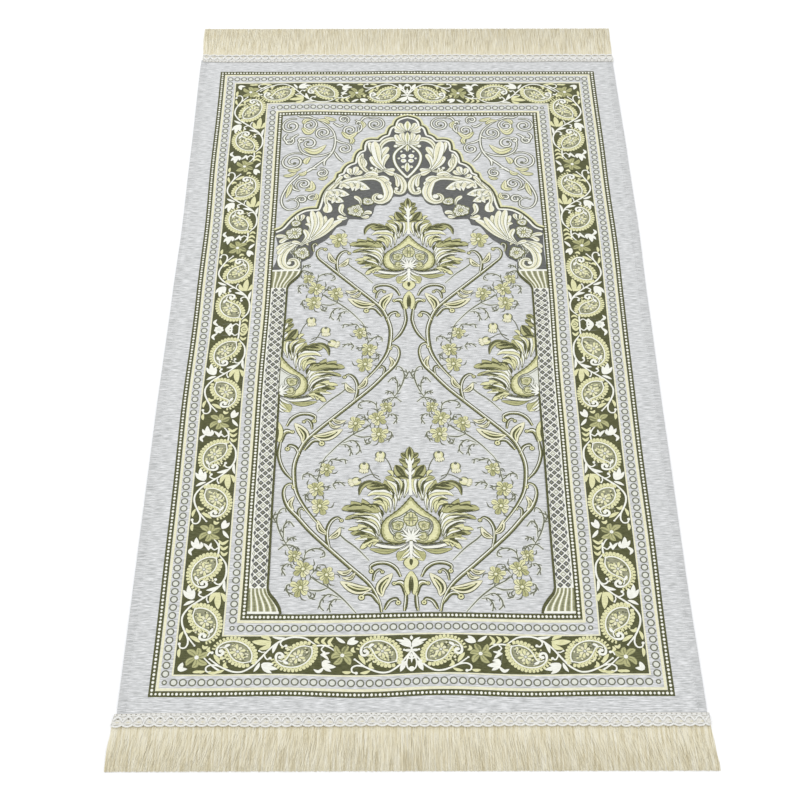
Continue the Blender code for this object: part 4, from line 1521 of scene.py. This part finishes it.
def palmette_middle(at):
    """What lies on the palmette's own axis: its spear-shaped crown, stalk, rosette and drop."""
    leaf(at, "dull_gold", 9, ((0, 113), (0.01, 124), (0, 134.5)), 9.5, "olive", 1.3, "olive", 0.0)
    stroke(at, "ivory", 12, ((0, 62), (0.01, 92), (0, 122)), (4.6, 2.8, 2.8, 5.2, 0.6))
    leaf(at, "gold", 12, ((0, -26), (0.01, -35), (0, -44)), 17, "olive", 1.0)
    stroke(at, "ivory", 15, ((0, -4), (0.01, -16), (0, -29)), (4.0, 4.0, 1.4))
    leaf(at, "olive", 14, ((0, -28), (0.01, -33), (0, -38)), 4.2)
    floret(at, TOP_ROSETTE, 14, "gold", "dull_gold")
    disc(at, "ivory", 24, 0, 0, 3.0)


def lily(at):
    """The right half of the lily under the palmette: a pointed petal and one that turns out."""
    outlined(at, ((6, -78), (7, -68), (12, -61), (20, -62)), 7.0, bulb=2.2)
    leaf(at, "gold", 6, ((3.5, -78), (4, -60), (0.5, -45)), 7.5, "olive", 1.1)
    leaf(at, "olive", 8, ((1.2, -76), (1.6, -62), (0.6, -52)), 2.6)


def gold_flower(at, row):
    """A spray's open flower: seven broad gold petals with dark edges, grey sepals, and a bright eye."""
    x, y, size, turn = row["x"], row["y"], row["size"], row["turn"]

    def bent(angle, reach, shares):
        return [ray(x, y, angle + bend, reach, (share,))[0] for share, bend in shares]

    for k in range(7):
        angle = turn + math.tau * k / 7 + 0.1 * math.sin(3 * k)
        reach = size * (1.08, 0.84, 1.0, 0.78, 0.94)[k % 5]
        yarn = ("gold", "dull_gold", "gold", "cream")[k % 4]
        spine = bent(angle, reach, ((0.1, 0.0), (0.6, 0.14), (1.0, 0.0)))
        leaf(at, yarn, 4 + 2 * (k % 2), spine, 0.54 * size, "ash", 0.8, vein="moss", blunt=True)
    for k, bend in enumerate((0.5, -0.6, 0.45, -0.4, 0.55)):
        angle = turn + 0.4 + math.tau * k / 5 + 0.25 * math.sin(5 * k + x)
        stroke(at, "ash", 2, bent(angle, size, ((0.8, 0.0), (1.2, 0.3 * bend), (1.5, bend))), (0.8, 1.8, 0.5))
    disc(at, "moss", 10, x, y, 0.28 * size)
    disc(at, "gold", 11, x, y, 0.19 * size, sides=7)
    disc(at, "ivory", 12, x + 0.3, y + 0.3, 0.09 * size, sides=6)


def sprig(at, points):
    """A thin grey stem with small leaves, on one side and then the other."""
    stroke(at, "pale", 1, points, 3.6)
    stroke(at, "ash", 2, points, (1.0, 1.9, 1.4), 0.9)
    line = curve(points)
    for k, share in enumerate((0.2, 0.38, 0.56, 0.74)):
        i = round(share * (len(line) - 1))
        tip = beside(line, SPRIG_LEAF if k % 2 else -SPRIG_LEAF)[min(i + 3, len(line) - 1)]
        stroke(at, "ash", 2, straight(line[i], tip), (0.7, 1.7, 0.5))


def bud(at, row):
    """A gold bell with a dark cap and four small teeth, on a thin stalk."""
    stroke(at, "ash", 2, row["stem"], 1.4)
    x, y, turn = row["x"], row["y"], row["turn"]
    out, aside = (math.cos(turn), math.sin(turn)), (-math.sin(turn), math.cos(turn))

    def spot(along, across):
        return x + along * out[0] + across * aside[0], y + along * out[1] + across * aside[1]

    leaf(at, "gold", 4, (spot(-9.0, 0.4), spot(-1, -0.5), spot(6.0, 0)), 10.2, "ash", 1.9, "cream", full=0.7)
    disc(at, "ash", 7, *spot(-7.0, 0.2), 2.2, sides=7)
    for across, reach in ((-4.3, 7.0), (-1.5, 8.2), (1.5, 8.0), (4.2, 6.8)):
        tooth = (spot(1, 0.8 * across), spot(4, 0.95 * across), spot(reach, across))
        leaf(at, "cream", 7, tooth, 2.7, "moss", 0.9)


def unit(at, place):
    """The right half of a unit. The near one rests on the guard; the niche cuts the far one's stems short."""
    palmette(at)
    lily(at)
    for row in TENDRILS:
        outlined(at, row["path"], row["wide"], bulb=row["bulb"])
    for row in BIG_LEAVES:
        leaf(at, "cream", 4, row["path"], 0.85 * row["wide"], "olive", 1.2, full=0.95)
        middle = curve(row["path"])[2:-4]
        strip(at, "olive", 6, middle, lambda t: 0.46 * row["wide"] * math.sin(math.pi * t**0.9) ** 0.8)
        strip(at, "gold", 7, beside(middle, 0.05 * row["wide"])[1:-2], 0.13 * row["wide"])
    for line in STALKS:
        stroke(at, "pale", 1, line, 3.6)
        stroke(at, "ash", 2, line, (1.0, 2.0, 1.5), 0.9)
    for line in SPRIGS:
        sprig(at, line)
    for row in FLOWERS:
        gold_flower(at, row)
    stems = {
        "near": STEM_FOOT[:-1] + STEM[5:],
        "side": STEM_TAIL[:-1] + STEM,
        "far": STEM_TAIL[:-1] + STEM[:7] + STEM_CUT,
    }
    outlined(at, stems[place], 5.0, bulb=2.4)
    if place == "near":
        outlined(at, LILY_FOOT, 4.0)
    else:
        outlined(at, LILY_TAIL, 4.0)
        for line in HANGING_LINES:
            sprig(at, line)
        for row in HANGING_FLOWERS:
            gold_flower(at, row)
    if place == "far":
        gold_flower(at, ARCH_FLOWER)
    else:
        for row in BUDS:
            bud(at, row)


def unit_place(centre, sign):
    """At a unit's heart, mirrored for the left half."""
    return lambda x, y: (sign * (centre[0] + x), centre[1] + y)


def side_unit_place(sign):
    """At the heart of the half unit against one column. The right one has come out a little taller."""
    taller = UNIT_TALLER["right" if sign > 0 else "left"]

    def at(x, y):
        return sign * (UNIT_SIDE[0] - x), UNIT_SIDE[1] + y + taller * smooth((y - 40) / 75)

    return at


for sign in (-1, 1):
    unit(unit_place(UNIT_NEAR, sign), "near")
    unit(unit_place(UNIT_FAR, sign), "far")
    unit(side_unit_place(sign), "side")
for centre in (UNIT_NEAR, UNIT_FAR):
    palmette_middle(unit_place(centre, 1))

# Each yarn's figure is one mesh, since the loom carries that yarn from edge to edge.
YARNS = {
    "olive": {"colour": (0.083, 0.086, 0.03), "shade": (0.052, 0.054, 0.018), "light": (0.135, 0.137, 0.062)},
    "smoke": {"colour": (0.118, 0.12, 0.114), "shade": (0.085, 0.087, 0.082), "light": (0.17, 0.172, 0.165)},
    "moss": {"colour": (0.215, 0.22, 0.1), "shade": (0.15, 0.155, 0.066), "light": (0.31, 0.315, 0.165)},
    "dim": {"colour": (0.3, 0.3, 0.19), "shade": (0.19, 0.19, 0.12), "light": (0.44, 0.44, 0.3)},
    "dull_gold": {"colour": (0.44, 0.435, 0.205), "shade": (0.34, 0.335, 0.15), "light": (0.55, 0.545, 0.29)},
    "gold": {"colour": (0.72, 0.705, 0.4), "shade": (0.59, 0.575, 0.3), "light": (0.82, 0.805, 0.52)},
    "pale": {"colour": (0.7, 0.71, 0.63), "shade": (0.6, 0.61, 0.54), "light": (0.78, 0.79, 0.72)},
    "ash": {"colour": (0.15, 0.155, 0.105), "shade": (0.105, 0.11, 0.072), "light": (0.22, 0.225, 0.165)},
    "cream": {"colour": (0.79, 0.765, 0.545), "shade": (0.68, 0.655, 0.44), "light": (0.86, 0.84, 0.66)},
    "ivory": {"colour": (0.86, 0.86, 0.77), "shade": (0.76, 0.76, 0.67), "light": (0.92, 0.92, 0.86)},
}
for yarn, tones in YARNS.items():
    finish = woven(yarn + "_yarn", **tones, roughness=0.7, slub_length=0.006, slub_width=0.0014)
    piece = put_mesh("figure_" + yarn, *figure[yarn], finish, soft=True)


# ---- Headings ----------------------------------------------------------------------------------------
# A band of ivory gimp over each raw end, stitched down along its inner edge: a flat braid with a row of
# arched cords on it, which meet a scalloped cord at its outer edge. It holds the fringe to the cloth.

GIMP_INNER = 550.6
GIMP_WIDE = 15.8
GIMP_BASE = CLOTH_THICK + 0.3
GIMP_TOP = GIMP_BASE + 0.9
GIMP_CELL = 1.5
# How far short of its solid the band ends, at the left and at the right.
GIMP_LEFT = 2.5
GIMP_RIGHT = 1.0
# The left end of the band is cut a little askew.
GIMP_SLANT = 3.0
SLANT_REACH = 30.0
ARCH_PITCH = 11.6
CORD_RADIUS = 1.15
CORD_CELL = 1.2
CORD_SIDES = 6
STITCH_PITCH = 5.5
GIMP = {"colour": (0.765, 0.75, 0.695), "shade": (0.57, 0.555, 0.49), "light": (0.82, 0.81, 0.765)}
CORD = {"colour": (0.83, 0.825, 0.79), "shade": (0.66, 0.65, 0.6), "light": (0.9, 0.895, 0.87)}
STITCH = {"colour": (0.27, 0.25, 0.19), "shade": (0.19, 0.175, 0.13), "light": (0.36, 0.34, 0.27)}
EYE = {"colour": (0.74, 0.7, 0.54), "shade": (0.62, 0.58, 0.42), "light": (0.82, 0.79, 0.66)}

# Across the braid's own section: how far out from its inner edge, and how high.
BRAID_SECTION = (
    (0.4, GIMP_BASE), (0.0, GIMP_BASE + 0.4), (0.6, GIMP_TOP), (3.2, GIMP_TOP - 0.25),
    (8.5, GIMP_TOP - 0.1), (12.6, GIMP_TOP), (13.6, GIMP_BASE + 0.5), (13.2, GIMP_BASE),
)


def tube(path, radius):
    """A round cord along a path of points, closed at both ends."""
    points, faces, sides = [], [], CORD_SIDES
    for i, here in enumerate(path):
        before, after = path[max(i - 1, 0)], path[min(i + 1, len(path) - 1)]
        ahead = Vector(after) - Vector(before)
        aside = Vector((-ahead.y, ahead.x, 0)).normalized()
        up = ahead.cross(aside).normalized()
        for k in range(sides):
            angle = math.tau * k / sides
            points.append(tuple(Vector(here) + radius * (math.cos(angle) * aside - math.sin(angle) * up)))
    for i in range(len(path) - 1):
        for k in range(sides):
            a, b = i * sides + k, i * sides + (k + 1) % sides
            faces.append([a, a + sides, b + sides, b])
    faces.append([*range(sides)])
    faces.append([*range(len(points) - sides, len(points))][::-1])
    return points, faces


def merged(parts):
    """Several (points, faces) parts as one, set in the frame."""
    points, faces = [], []
    for part_points, part_faces in parts:
        faces += [[len(points) + i for i in face] for face in part_faces]
        points += [in_frame(*point) for point in part_points]
    return points, faces


def gimp_parts(way, left, right):
    """The braid, its cords, and its stitches' and eyes' places. way is -1 at the near end, 1 at the far."""
    columns = stations(left, right, GIMP_CELL)

    def spot(x, v, z):
        lean = -GIMP_SLANT * (v / GIMP_WIDE - 0.5) * smooth(1 - (x - left) / SLANT_REACH)
        sag = 0.35 * math.sin(x / 31) + 0.25 * math.sin(x / 12.7 + 2)
        return x + lean, way * (GIMP_INNER + v + sag), z

    points, faces = [], []
    for x in columns:
        for v, z in BRAID_SECTION:
            points.append(spot(x, v, z + 0.08 * math.sin(x * 2.4 + v) * (z > GIMP_BASE + 0.5)))
    count = len(BRAID_SECTION)
    for i in range(len(columns) - 1):
        for k in range(count):
            a, b = i * count + k, i * count + (k + 1) % count
            faces.append([a, a + count, b + count, b] if way < 0 else [a, b, b + count, a + count])
    last = len(points) - count
    ends = ([*range(count)], [*range(last, last + count)])
    faces += [ends[0] if way > 0 else ends[0][::-1], ends[1][::-1] if way > 0 else ends[1]]
    along = stations(left + CORD_CELL, right - CORD_CELL, CORD_CELL)

    def arch(x):
        return abs(math.sin(math.pi * (x - left) / ARCH_PITCH))

    # The arched cord, the scalloped one outside it, and a thin one along the inner edge.
    z = GIMP_TOP + 0.45 * CORD_RADIUS
    arches = [spot(x, 13.0 - 8.4 * arch(x) ** 0.5, z + 0.35 * arch(x)) for x in along]
    outer = [spot(x, 12.8 + 2.6 * arch(x) ** 0.6, z - 0.1) for x in along]
    inner = [spot(x, 2.8 + 0.4 * math.sin(x * 1.1), z - 0.3) for x in along]
    cords = [tube(arches, CORD_RADIUS), tube(outer, CORD_RADIUS), tube(inner, 0.65 * CORD_RADIUS)]
    # Dark stitches along the inner edge and at each arch's foot and head, with a pale eye in each arch.
    dots = [spot(x, 1.2, GIMP_TOP) for x in stations(left + 3, right - 3, STITCH_PITCH)]
    feet = stations(left + ARCH_PITCH, right - 3, ARCH_PITCH)
    dots += [spot(x, 14.6, GIMP_TOP + 0.3) for x in feet]
    dots += [spot(x - ARCH_PITCH / 2, 6.6, GIMP_TOP + 0.1) for x in feet]
    eyes = [spot(x - ARCH_PITCH / 2, 10.4, GIMP_TOP + 0.12) for x in feet]
    return [(points, faces)], cords, dots, eyes


def stitch_parts(spots, long, wide, tall):
    """Small raised stitches that lie across the rug, one at each spot."""
    parts = []
    for x, y, z in spots:
        ends = [(x - long, y, z - 0.3), (x - 0.6 * long, y, z + tall), (x + 0.6 * long, y, z + tall),
                (x + long, y, z - 0.3)]
        sides = [(x, y - wide, z - 0.1), (x, y + wide, z - 0.1)]
        faces = [[0, 4, 1], [1, 4, 2], [2, 4, 3], [3, 5, 2], [2, 5, 1], [1, 5, 0]]
        parts.append((ends + sides, faces))
    return parts


gimp_finish = woven("ivory_gimp_braid", **GIMP, slub_length=0.003, slub_width=0.0012)
cord_finish = woven("ivory_gimp_cord", **CORD, slub_length=0.002, slub_width=0.0012)
stitch_finish = woven("heading_stitch", **STITCH, slub_length=0.003)
eye_finish = woven("heading_eye", **EYE, slub_length=0.003)
dark_stitches, pale_eyes, headings = [], [], []
for end, way in (("near", -1), ("far", 1)):
    low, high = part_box("heading_" + end)
    parts, cords, dots, eyes = gimp_parts(way, low[0] / MM + GIMP_LEFT, high[0] / MM - GIMP_RIGHT)
    dark_stitches += stitch_parts(dots, long=1.3, wide=0.6, tall=0.35)
    pale_eyes += stitch_parts(eyes, long=2.8, wide=0.9, tall=0.3)
    heading = put_mesh("heading_band_" + end, *merged(parts), gimp_finish, soft=True)
    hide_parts("heading_" + end)
    raised = put_mesh("heading_cords_" + end, *merged(cords), cord_finish, soft=True)
    headings += [heading, raised]
stitches = put_mesh("heading_stitches", *merged(dark_stitches), stitch_finish)
eye_threads = put_mesh("heading_eyes", *merged(pale_eyes), eye_finish)
headings += [stitches, eye_threads]


# ---- Fringes -----------------------------------------------------------------------------------------
# A brush of cream yarn at each end, caught under the heading and cut straight: a close mat of strands with
# the loose ones over it, each a little bent.

# The mat starts under the heading, and the loose strands at its outer edge.
FRINGE_ROOT = 556.6
LOOSE_FROM = 565.5
ROOT_INSET = 2.0
STRANDS = 1800
STRAND_WIDE = 0.9
STRAND_PARTS = 6
MAT_CELL = 4.0
MAT_PARTS = 8
MAT_THICK = 1.15
# How strongly the strands are combed out towards the corners.
COMBED = 32
CREAM = (0.730, 0.675, 0.500)
CREAM_SHADE = (0.580, 0.510, 0.330)
CREAM_LIGHT = (0.800, 0.765, 0.635)


def strand_group():
    """Yarn that lies along the rug: long streaks, one tone to a strand, and its fine grooves."""
    sizes = {"Strand Width": 0.0009, "Strand Length": 0.02}
    group, given, out = new_group("fringe_strands", sizes, ["Height", "Tone"])
    place = group.nodes.new("ShaderNodeTexCoord")
    apart = group.nodes.new("ShaderNodeSeparateXYZ")
    group.links.new(place.outputs["Object"], apart.inputs[0])
    across = maths_node(group, "DIVIDE", apart.outputs["X"], given.outputs["Strand Width"])
    along = maths_node(group, "DIVIDE", apart.outputs["Y"], given.outputs["Strand Length"])
    both = group.nodes.new("ShaderNodeCombineXYZ")
    group.links.new(across, both.inputs["X"])
    group.links.new(along, both.inputs["Y"])
    for socket, scale in (("Tone", 0.45), ("Height", 1.6)):
        noise = group.nodes.new("ShaderNodeTexNoise")
        noise.inputs["Scale"].default_value = scale
        noise.inputs["Detail"].default_value = 4.0
        noise.inputs["Roughness"].default_value = 0.65
        group.links.new(both.outputs[0], noise.inputs["Vector"])
        group.links.new(noise.outputs[0], out.inputs[socket])
    return group


def fringe_material():
    """Cream yarn, from tan to nearly white strand by strand."""
    made = bpy.data.materials.new("cream_fringe")
    made.use_nodes = True
    tree = made.node_tree
    shader = tree.nodes["Principled BSDF"]
    strands = tree.nodes.new("ShaderNodeGroup")
    strands.node_tree = strand_group()
    strands.inputs["Strand Width"].default_value = 0.0009
    strands.inputs["Strand Length"].default_value = 0.018
    ramp = tree.nodes.new("ShaderNodeValToRGB")
    ramp.color_ramp.elements.new(0.5)
    stops = ((0.34, CREAM_SHADE), (0.5, CREAM), (0.66, CREAM_LIGHT))
    for element, (place, tone) in zip(ramp.color_ramp.elements, stops):
        element.position = place
        element.color = (*tone, 1)
    tree.links.new(strands.outputs["Tone"], ramp.inputs[0])
    tree.links.new(ramp.outputs[0], shader.inputs["Base Color"])
    bump = tree.nodes.new("ShaderNodeBump")
    bump.inputs["Strength"].default_value = 0.5
    bump.inputs["Distance"].default_value = 0.0006
    tree.links.new(strands.outputs["Height"], bump.inputs["Height"])
    tree.links.new(bump.outputs[0], shader.inputs["Normal"])
    shader.inputs["Roughness"].default_value = 0.75
    shader.inputs["Specular IOR Level"].default_value = 0.25
    shader.inputs["Sheen Weight"].default_value = 0.2
    return made


def fringe_parts(way, root_left, root_right, tip_left, tip_right, tip, pick):
    """The mat and its loose strands, from the root out to the tip, all in millimetres."""
    deep = tip - FRINGE_ROOT

    def spot(share, t, z):
        x0 = root_left + (root_right - root_left) * share
        x1 = tip_left + (tip_right - tip_left) * share
        apart = 2 * share - 1
        comb = COMBED * apart * (1 - abs(apart) ** 3) * t**1.2
        return x0 + (x1 - x0) * t + comb, way * (FRINGE_ROOT + deep * t), z

    def mat_top(t):
        fall = smooth(t / 0.45)
        return (GIMP_BASE - 0.5) * (1 - fall) + MAT_THICK * fall * (1 - 0.45 * t)

    cells = round((tip_right - tip_left) / MAT_CELL)
    rows = [k / MAT_PARTS * (1 - 1.2 / deep) for k in range(MAT_PARTS + 1)]
    points = []
    for layer in (0, 1):
        for t in rows:
            for i in range(cells + 1):
                wave = 0.12 * math.sin(i * 1.7 + 5 * t) + 0.1 * math.sin(i * 0.43)
                points.append(spot(i / cells, t, layer * (mat_top(t) + wave * (t > 0.1))))
    faces = closed_faces(cells + 1, len(rows))
    if way < 0:
        faces = [face[::-1] for face in faces]
    parts = [(points, faces)]
    root = (LOOSE_FROM - FRINGE_ROOT) / deep
    for n in range(STRANDS):
        share = (n + pick.uniform(-0.4, 0.4)) / STRANDS
        share = min(max(share, 0.002), 0.998)
        lean, bow = pick.uniform(-4.0, 4.0), pick.uniform(-2.4, 2.4)
        rise, reach = pick.uniform(0.1, 0.8), 1.0 - abs(pick.gauss(0, 0.012))
        strand, wide = [], STRAND_WIDE * pick.uniform(0.6, 1.15)
        for k in range(STRAND_PARTS + 1):
            out = k / STRAND_PARTS
            t = root + (reach - root) * out
            x, y, z = spot(share, t, mat_top(t) + rise * math.sin(0.85 * math.pi * out) + 0.15)
            x += lean * out**1.4 + bow * math.sin(math.pi * out) - 0.3 * lean
            x = min(max(x, tip_left + 0.4), tip_right - 0.4)
            half = wide / 2 * (1 - 0.45 * out**2)
            strand += [(x - half, y, z - 0.12), (x, y, z + 0.12), (x + half, y, z - 0.12)]
        faces = []
        for k in range(STRAND_PARTS):
            a = 3 * k
            for b in (a, a + 1):
                faces.append([b, b + 1, b + 4, b + 3] if way > 0 else [b, b + 3, b + 4, b + 1])
        parts.append((strand, faces))
    return parts


cream_finish = fringe_material()
for end, way in (("near", -1), ("far", 1)):
    low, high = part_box("fringe_" + end)
    band_low, band_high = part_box("heading_" + end)
    tip = abs(((low[1] if way < 0 else high[1]) - CLOTH_MIDDLE_Y) / MM)
    root_left, root_right = band_low[0] / MM + GIMP_LEFT, band_high[0] / MM - ROOT_INSET
    parts = fringe_parts(way, root_left, root_right, low[0] / MM, high[0] / MM, tip, random.Random(9))
    fringe = put_mesh("fringe_brush_" + end, *merged(parts), cream_finish, soft=True)
    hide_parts("fringe_" + end)


# ---- Hem stitching -----------------------------------------------------------------------------------
# Each long edge is turned under once and held by a row of small stitches in pale thread, ten millimetres in.

HEM_STITCH_PITCH = 4.4
HEM_STITCH_LONG = 1.5
HEM_STITCH_FLAT = 0.7
HEM_STITCH_WIDE = 0.45
HEM_STITCH_TALL = 0.28
HEM_END = 546
HEM_THREAD = {"colour": (0.7, 0.704, 0.7), "shade": (0.56, 0.564, 0.56), "light": (0.8, 0.804, 0.8)}

hem_parts = []
for sign in (-1, 1):
    for y in stations(-HEM_END, HEM_END, HEM_STITCH_PITCH):
        x = sign * (CLOTH_WIDE / 2 - HEM_WIDE + 1)
        z = CLOTH_THICK + hem_rise(x, y) + lift(x, y)
        stitch = [(x, y - HEM_STITCH_LONG, z - 0.1), (x, y - HEM_STITCH_FLAT, z + HEM_STITCH_TALL),
                  (x, y + HEM_STITCH_FLAT, z + HEM_STITCH_TALL), (x, y + HEM_STITCH_LONG, z - 0.1),
                  (x - HEM_STITCH_WIDE, y, z), (x + HEM_STITCH_WIDE, y, z)]
        hem_parts.append((stitch, [[0, 5, 1], [1, 5, 2], [2, 5, 3], [3, 4, 2], [2, 4, 1], [1, 4, 0]]))
hem_finish = woven("hem_thread", **HEM_THREAD, slub_length=0.003)
hem_stitches = put_mesh("hem_stitches", *merged(hem_parts), hem_finish)


# ---- Floor, light and camera -------------------------------------------------------------------------
# A pale studio floor under broad soft light, seen from the near end at a standing person's height.

CAMERA_AT = (-0.0146, -1.2054, 1.4271)
CAMERA_DOWN = 52.904
CAMERA_YAW = 0.1226
CAMERA_LENS = 62.39
FLOOR_SIZE = 14.0
FLOOR_GREY = 0.95
SKY = (0.97, 0.98, 1.0)
SKY_STRENGTH = 0.95
LIGHTS = (
    {"name": "key_light", "at": (-1.6, 1.2, 2.6), "size": 2.4, "watts": 26},
    {"name": "fill_light", "at": (2, -1.4, 2.4), "size": 2.6, "watts": 14},
)

floor_mesh = bpy.data.meshes.new("floor")
floor_corners = [(x * FLOOR_SIZE / 2, y * FLOOR_SIZE / 2, 0) for x, y in ((-1, -1), (1, -1), (1, 1), (-1, 1))]
floor_mesh.from_pydata(floor_corners, [], [[0, 1, 2, 3]])
floor = bpy.data.objects.new("floor", floor_mesh)
bpy.context.scene.collection.objects.link(floor)
floor_finish = bpy.data.materials.new("pale_floor")
floor_finish.use_nodes = True
floor_shader = floor_finish.node_tree.nodes["Principled BSDF"]
floor_shader.inputs["Base Color"].default_value = (FLOOR_GREY, FLOOR_GREY, FLOOR_GREY, 1)
floor_shader.inputs["Roughness"].default_value = 0.9
floor_shader.inputs["Specular IOR Level"].default_value = 0.1
floor_mesh.materials.append(floor_finish)

world = bpy.data.worlds.new("studio")
world.use_nodes = True
world.node_tree.nodes["Background"].inputs["Color"].default_value = (*SKY, 1)
world.node_tree.nodes["Background"].inputs["Strength"].default_value = SKY_STRENGTH
bpy.context.scene.world = world

for row in LIGHTS:
    lamp = bpy.data.lights.new(row["name"], "AREA")
    lamp.size = row["size"]
    lamp.energy = row["watts"]
    light = bpy.data.objects.new(row["name"], lamp)
    light.location = row["at"]
    light.rotation_euler = (-Vector(row["at"])).to_track_quat("-Z", "Y").to_euler()
    bpy.context.scene.collection.objects.link(light)

lens = bpy.data.cameras.new("camera")
lens.lens = CAMERA_LENS
lens.sensor_width = 36.0
lens.clip_start = 0.05
camera = bpy.data.objects.new("camera", lens)
camera.location = CAMERA_AT
camera.rotation_euler = (math.radians(90 - CAMERA_DOWN), 0, math.radians(-CAMERA_YAW))
bpy.context.scene.collection.objects.link(camera)
bpy.context.scene.camera = camera
bpy.context.scene.view_settings.view_transform = "Standard"
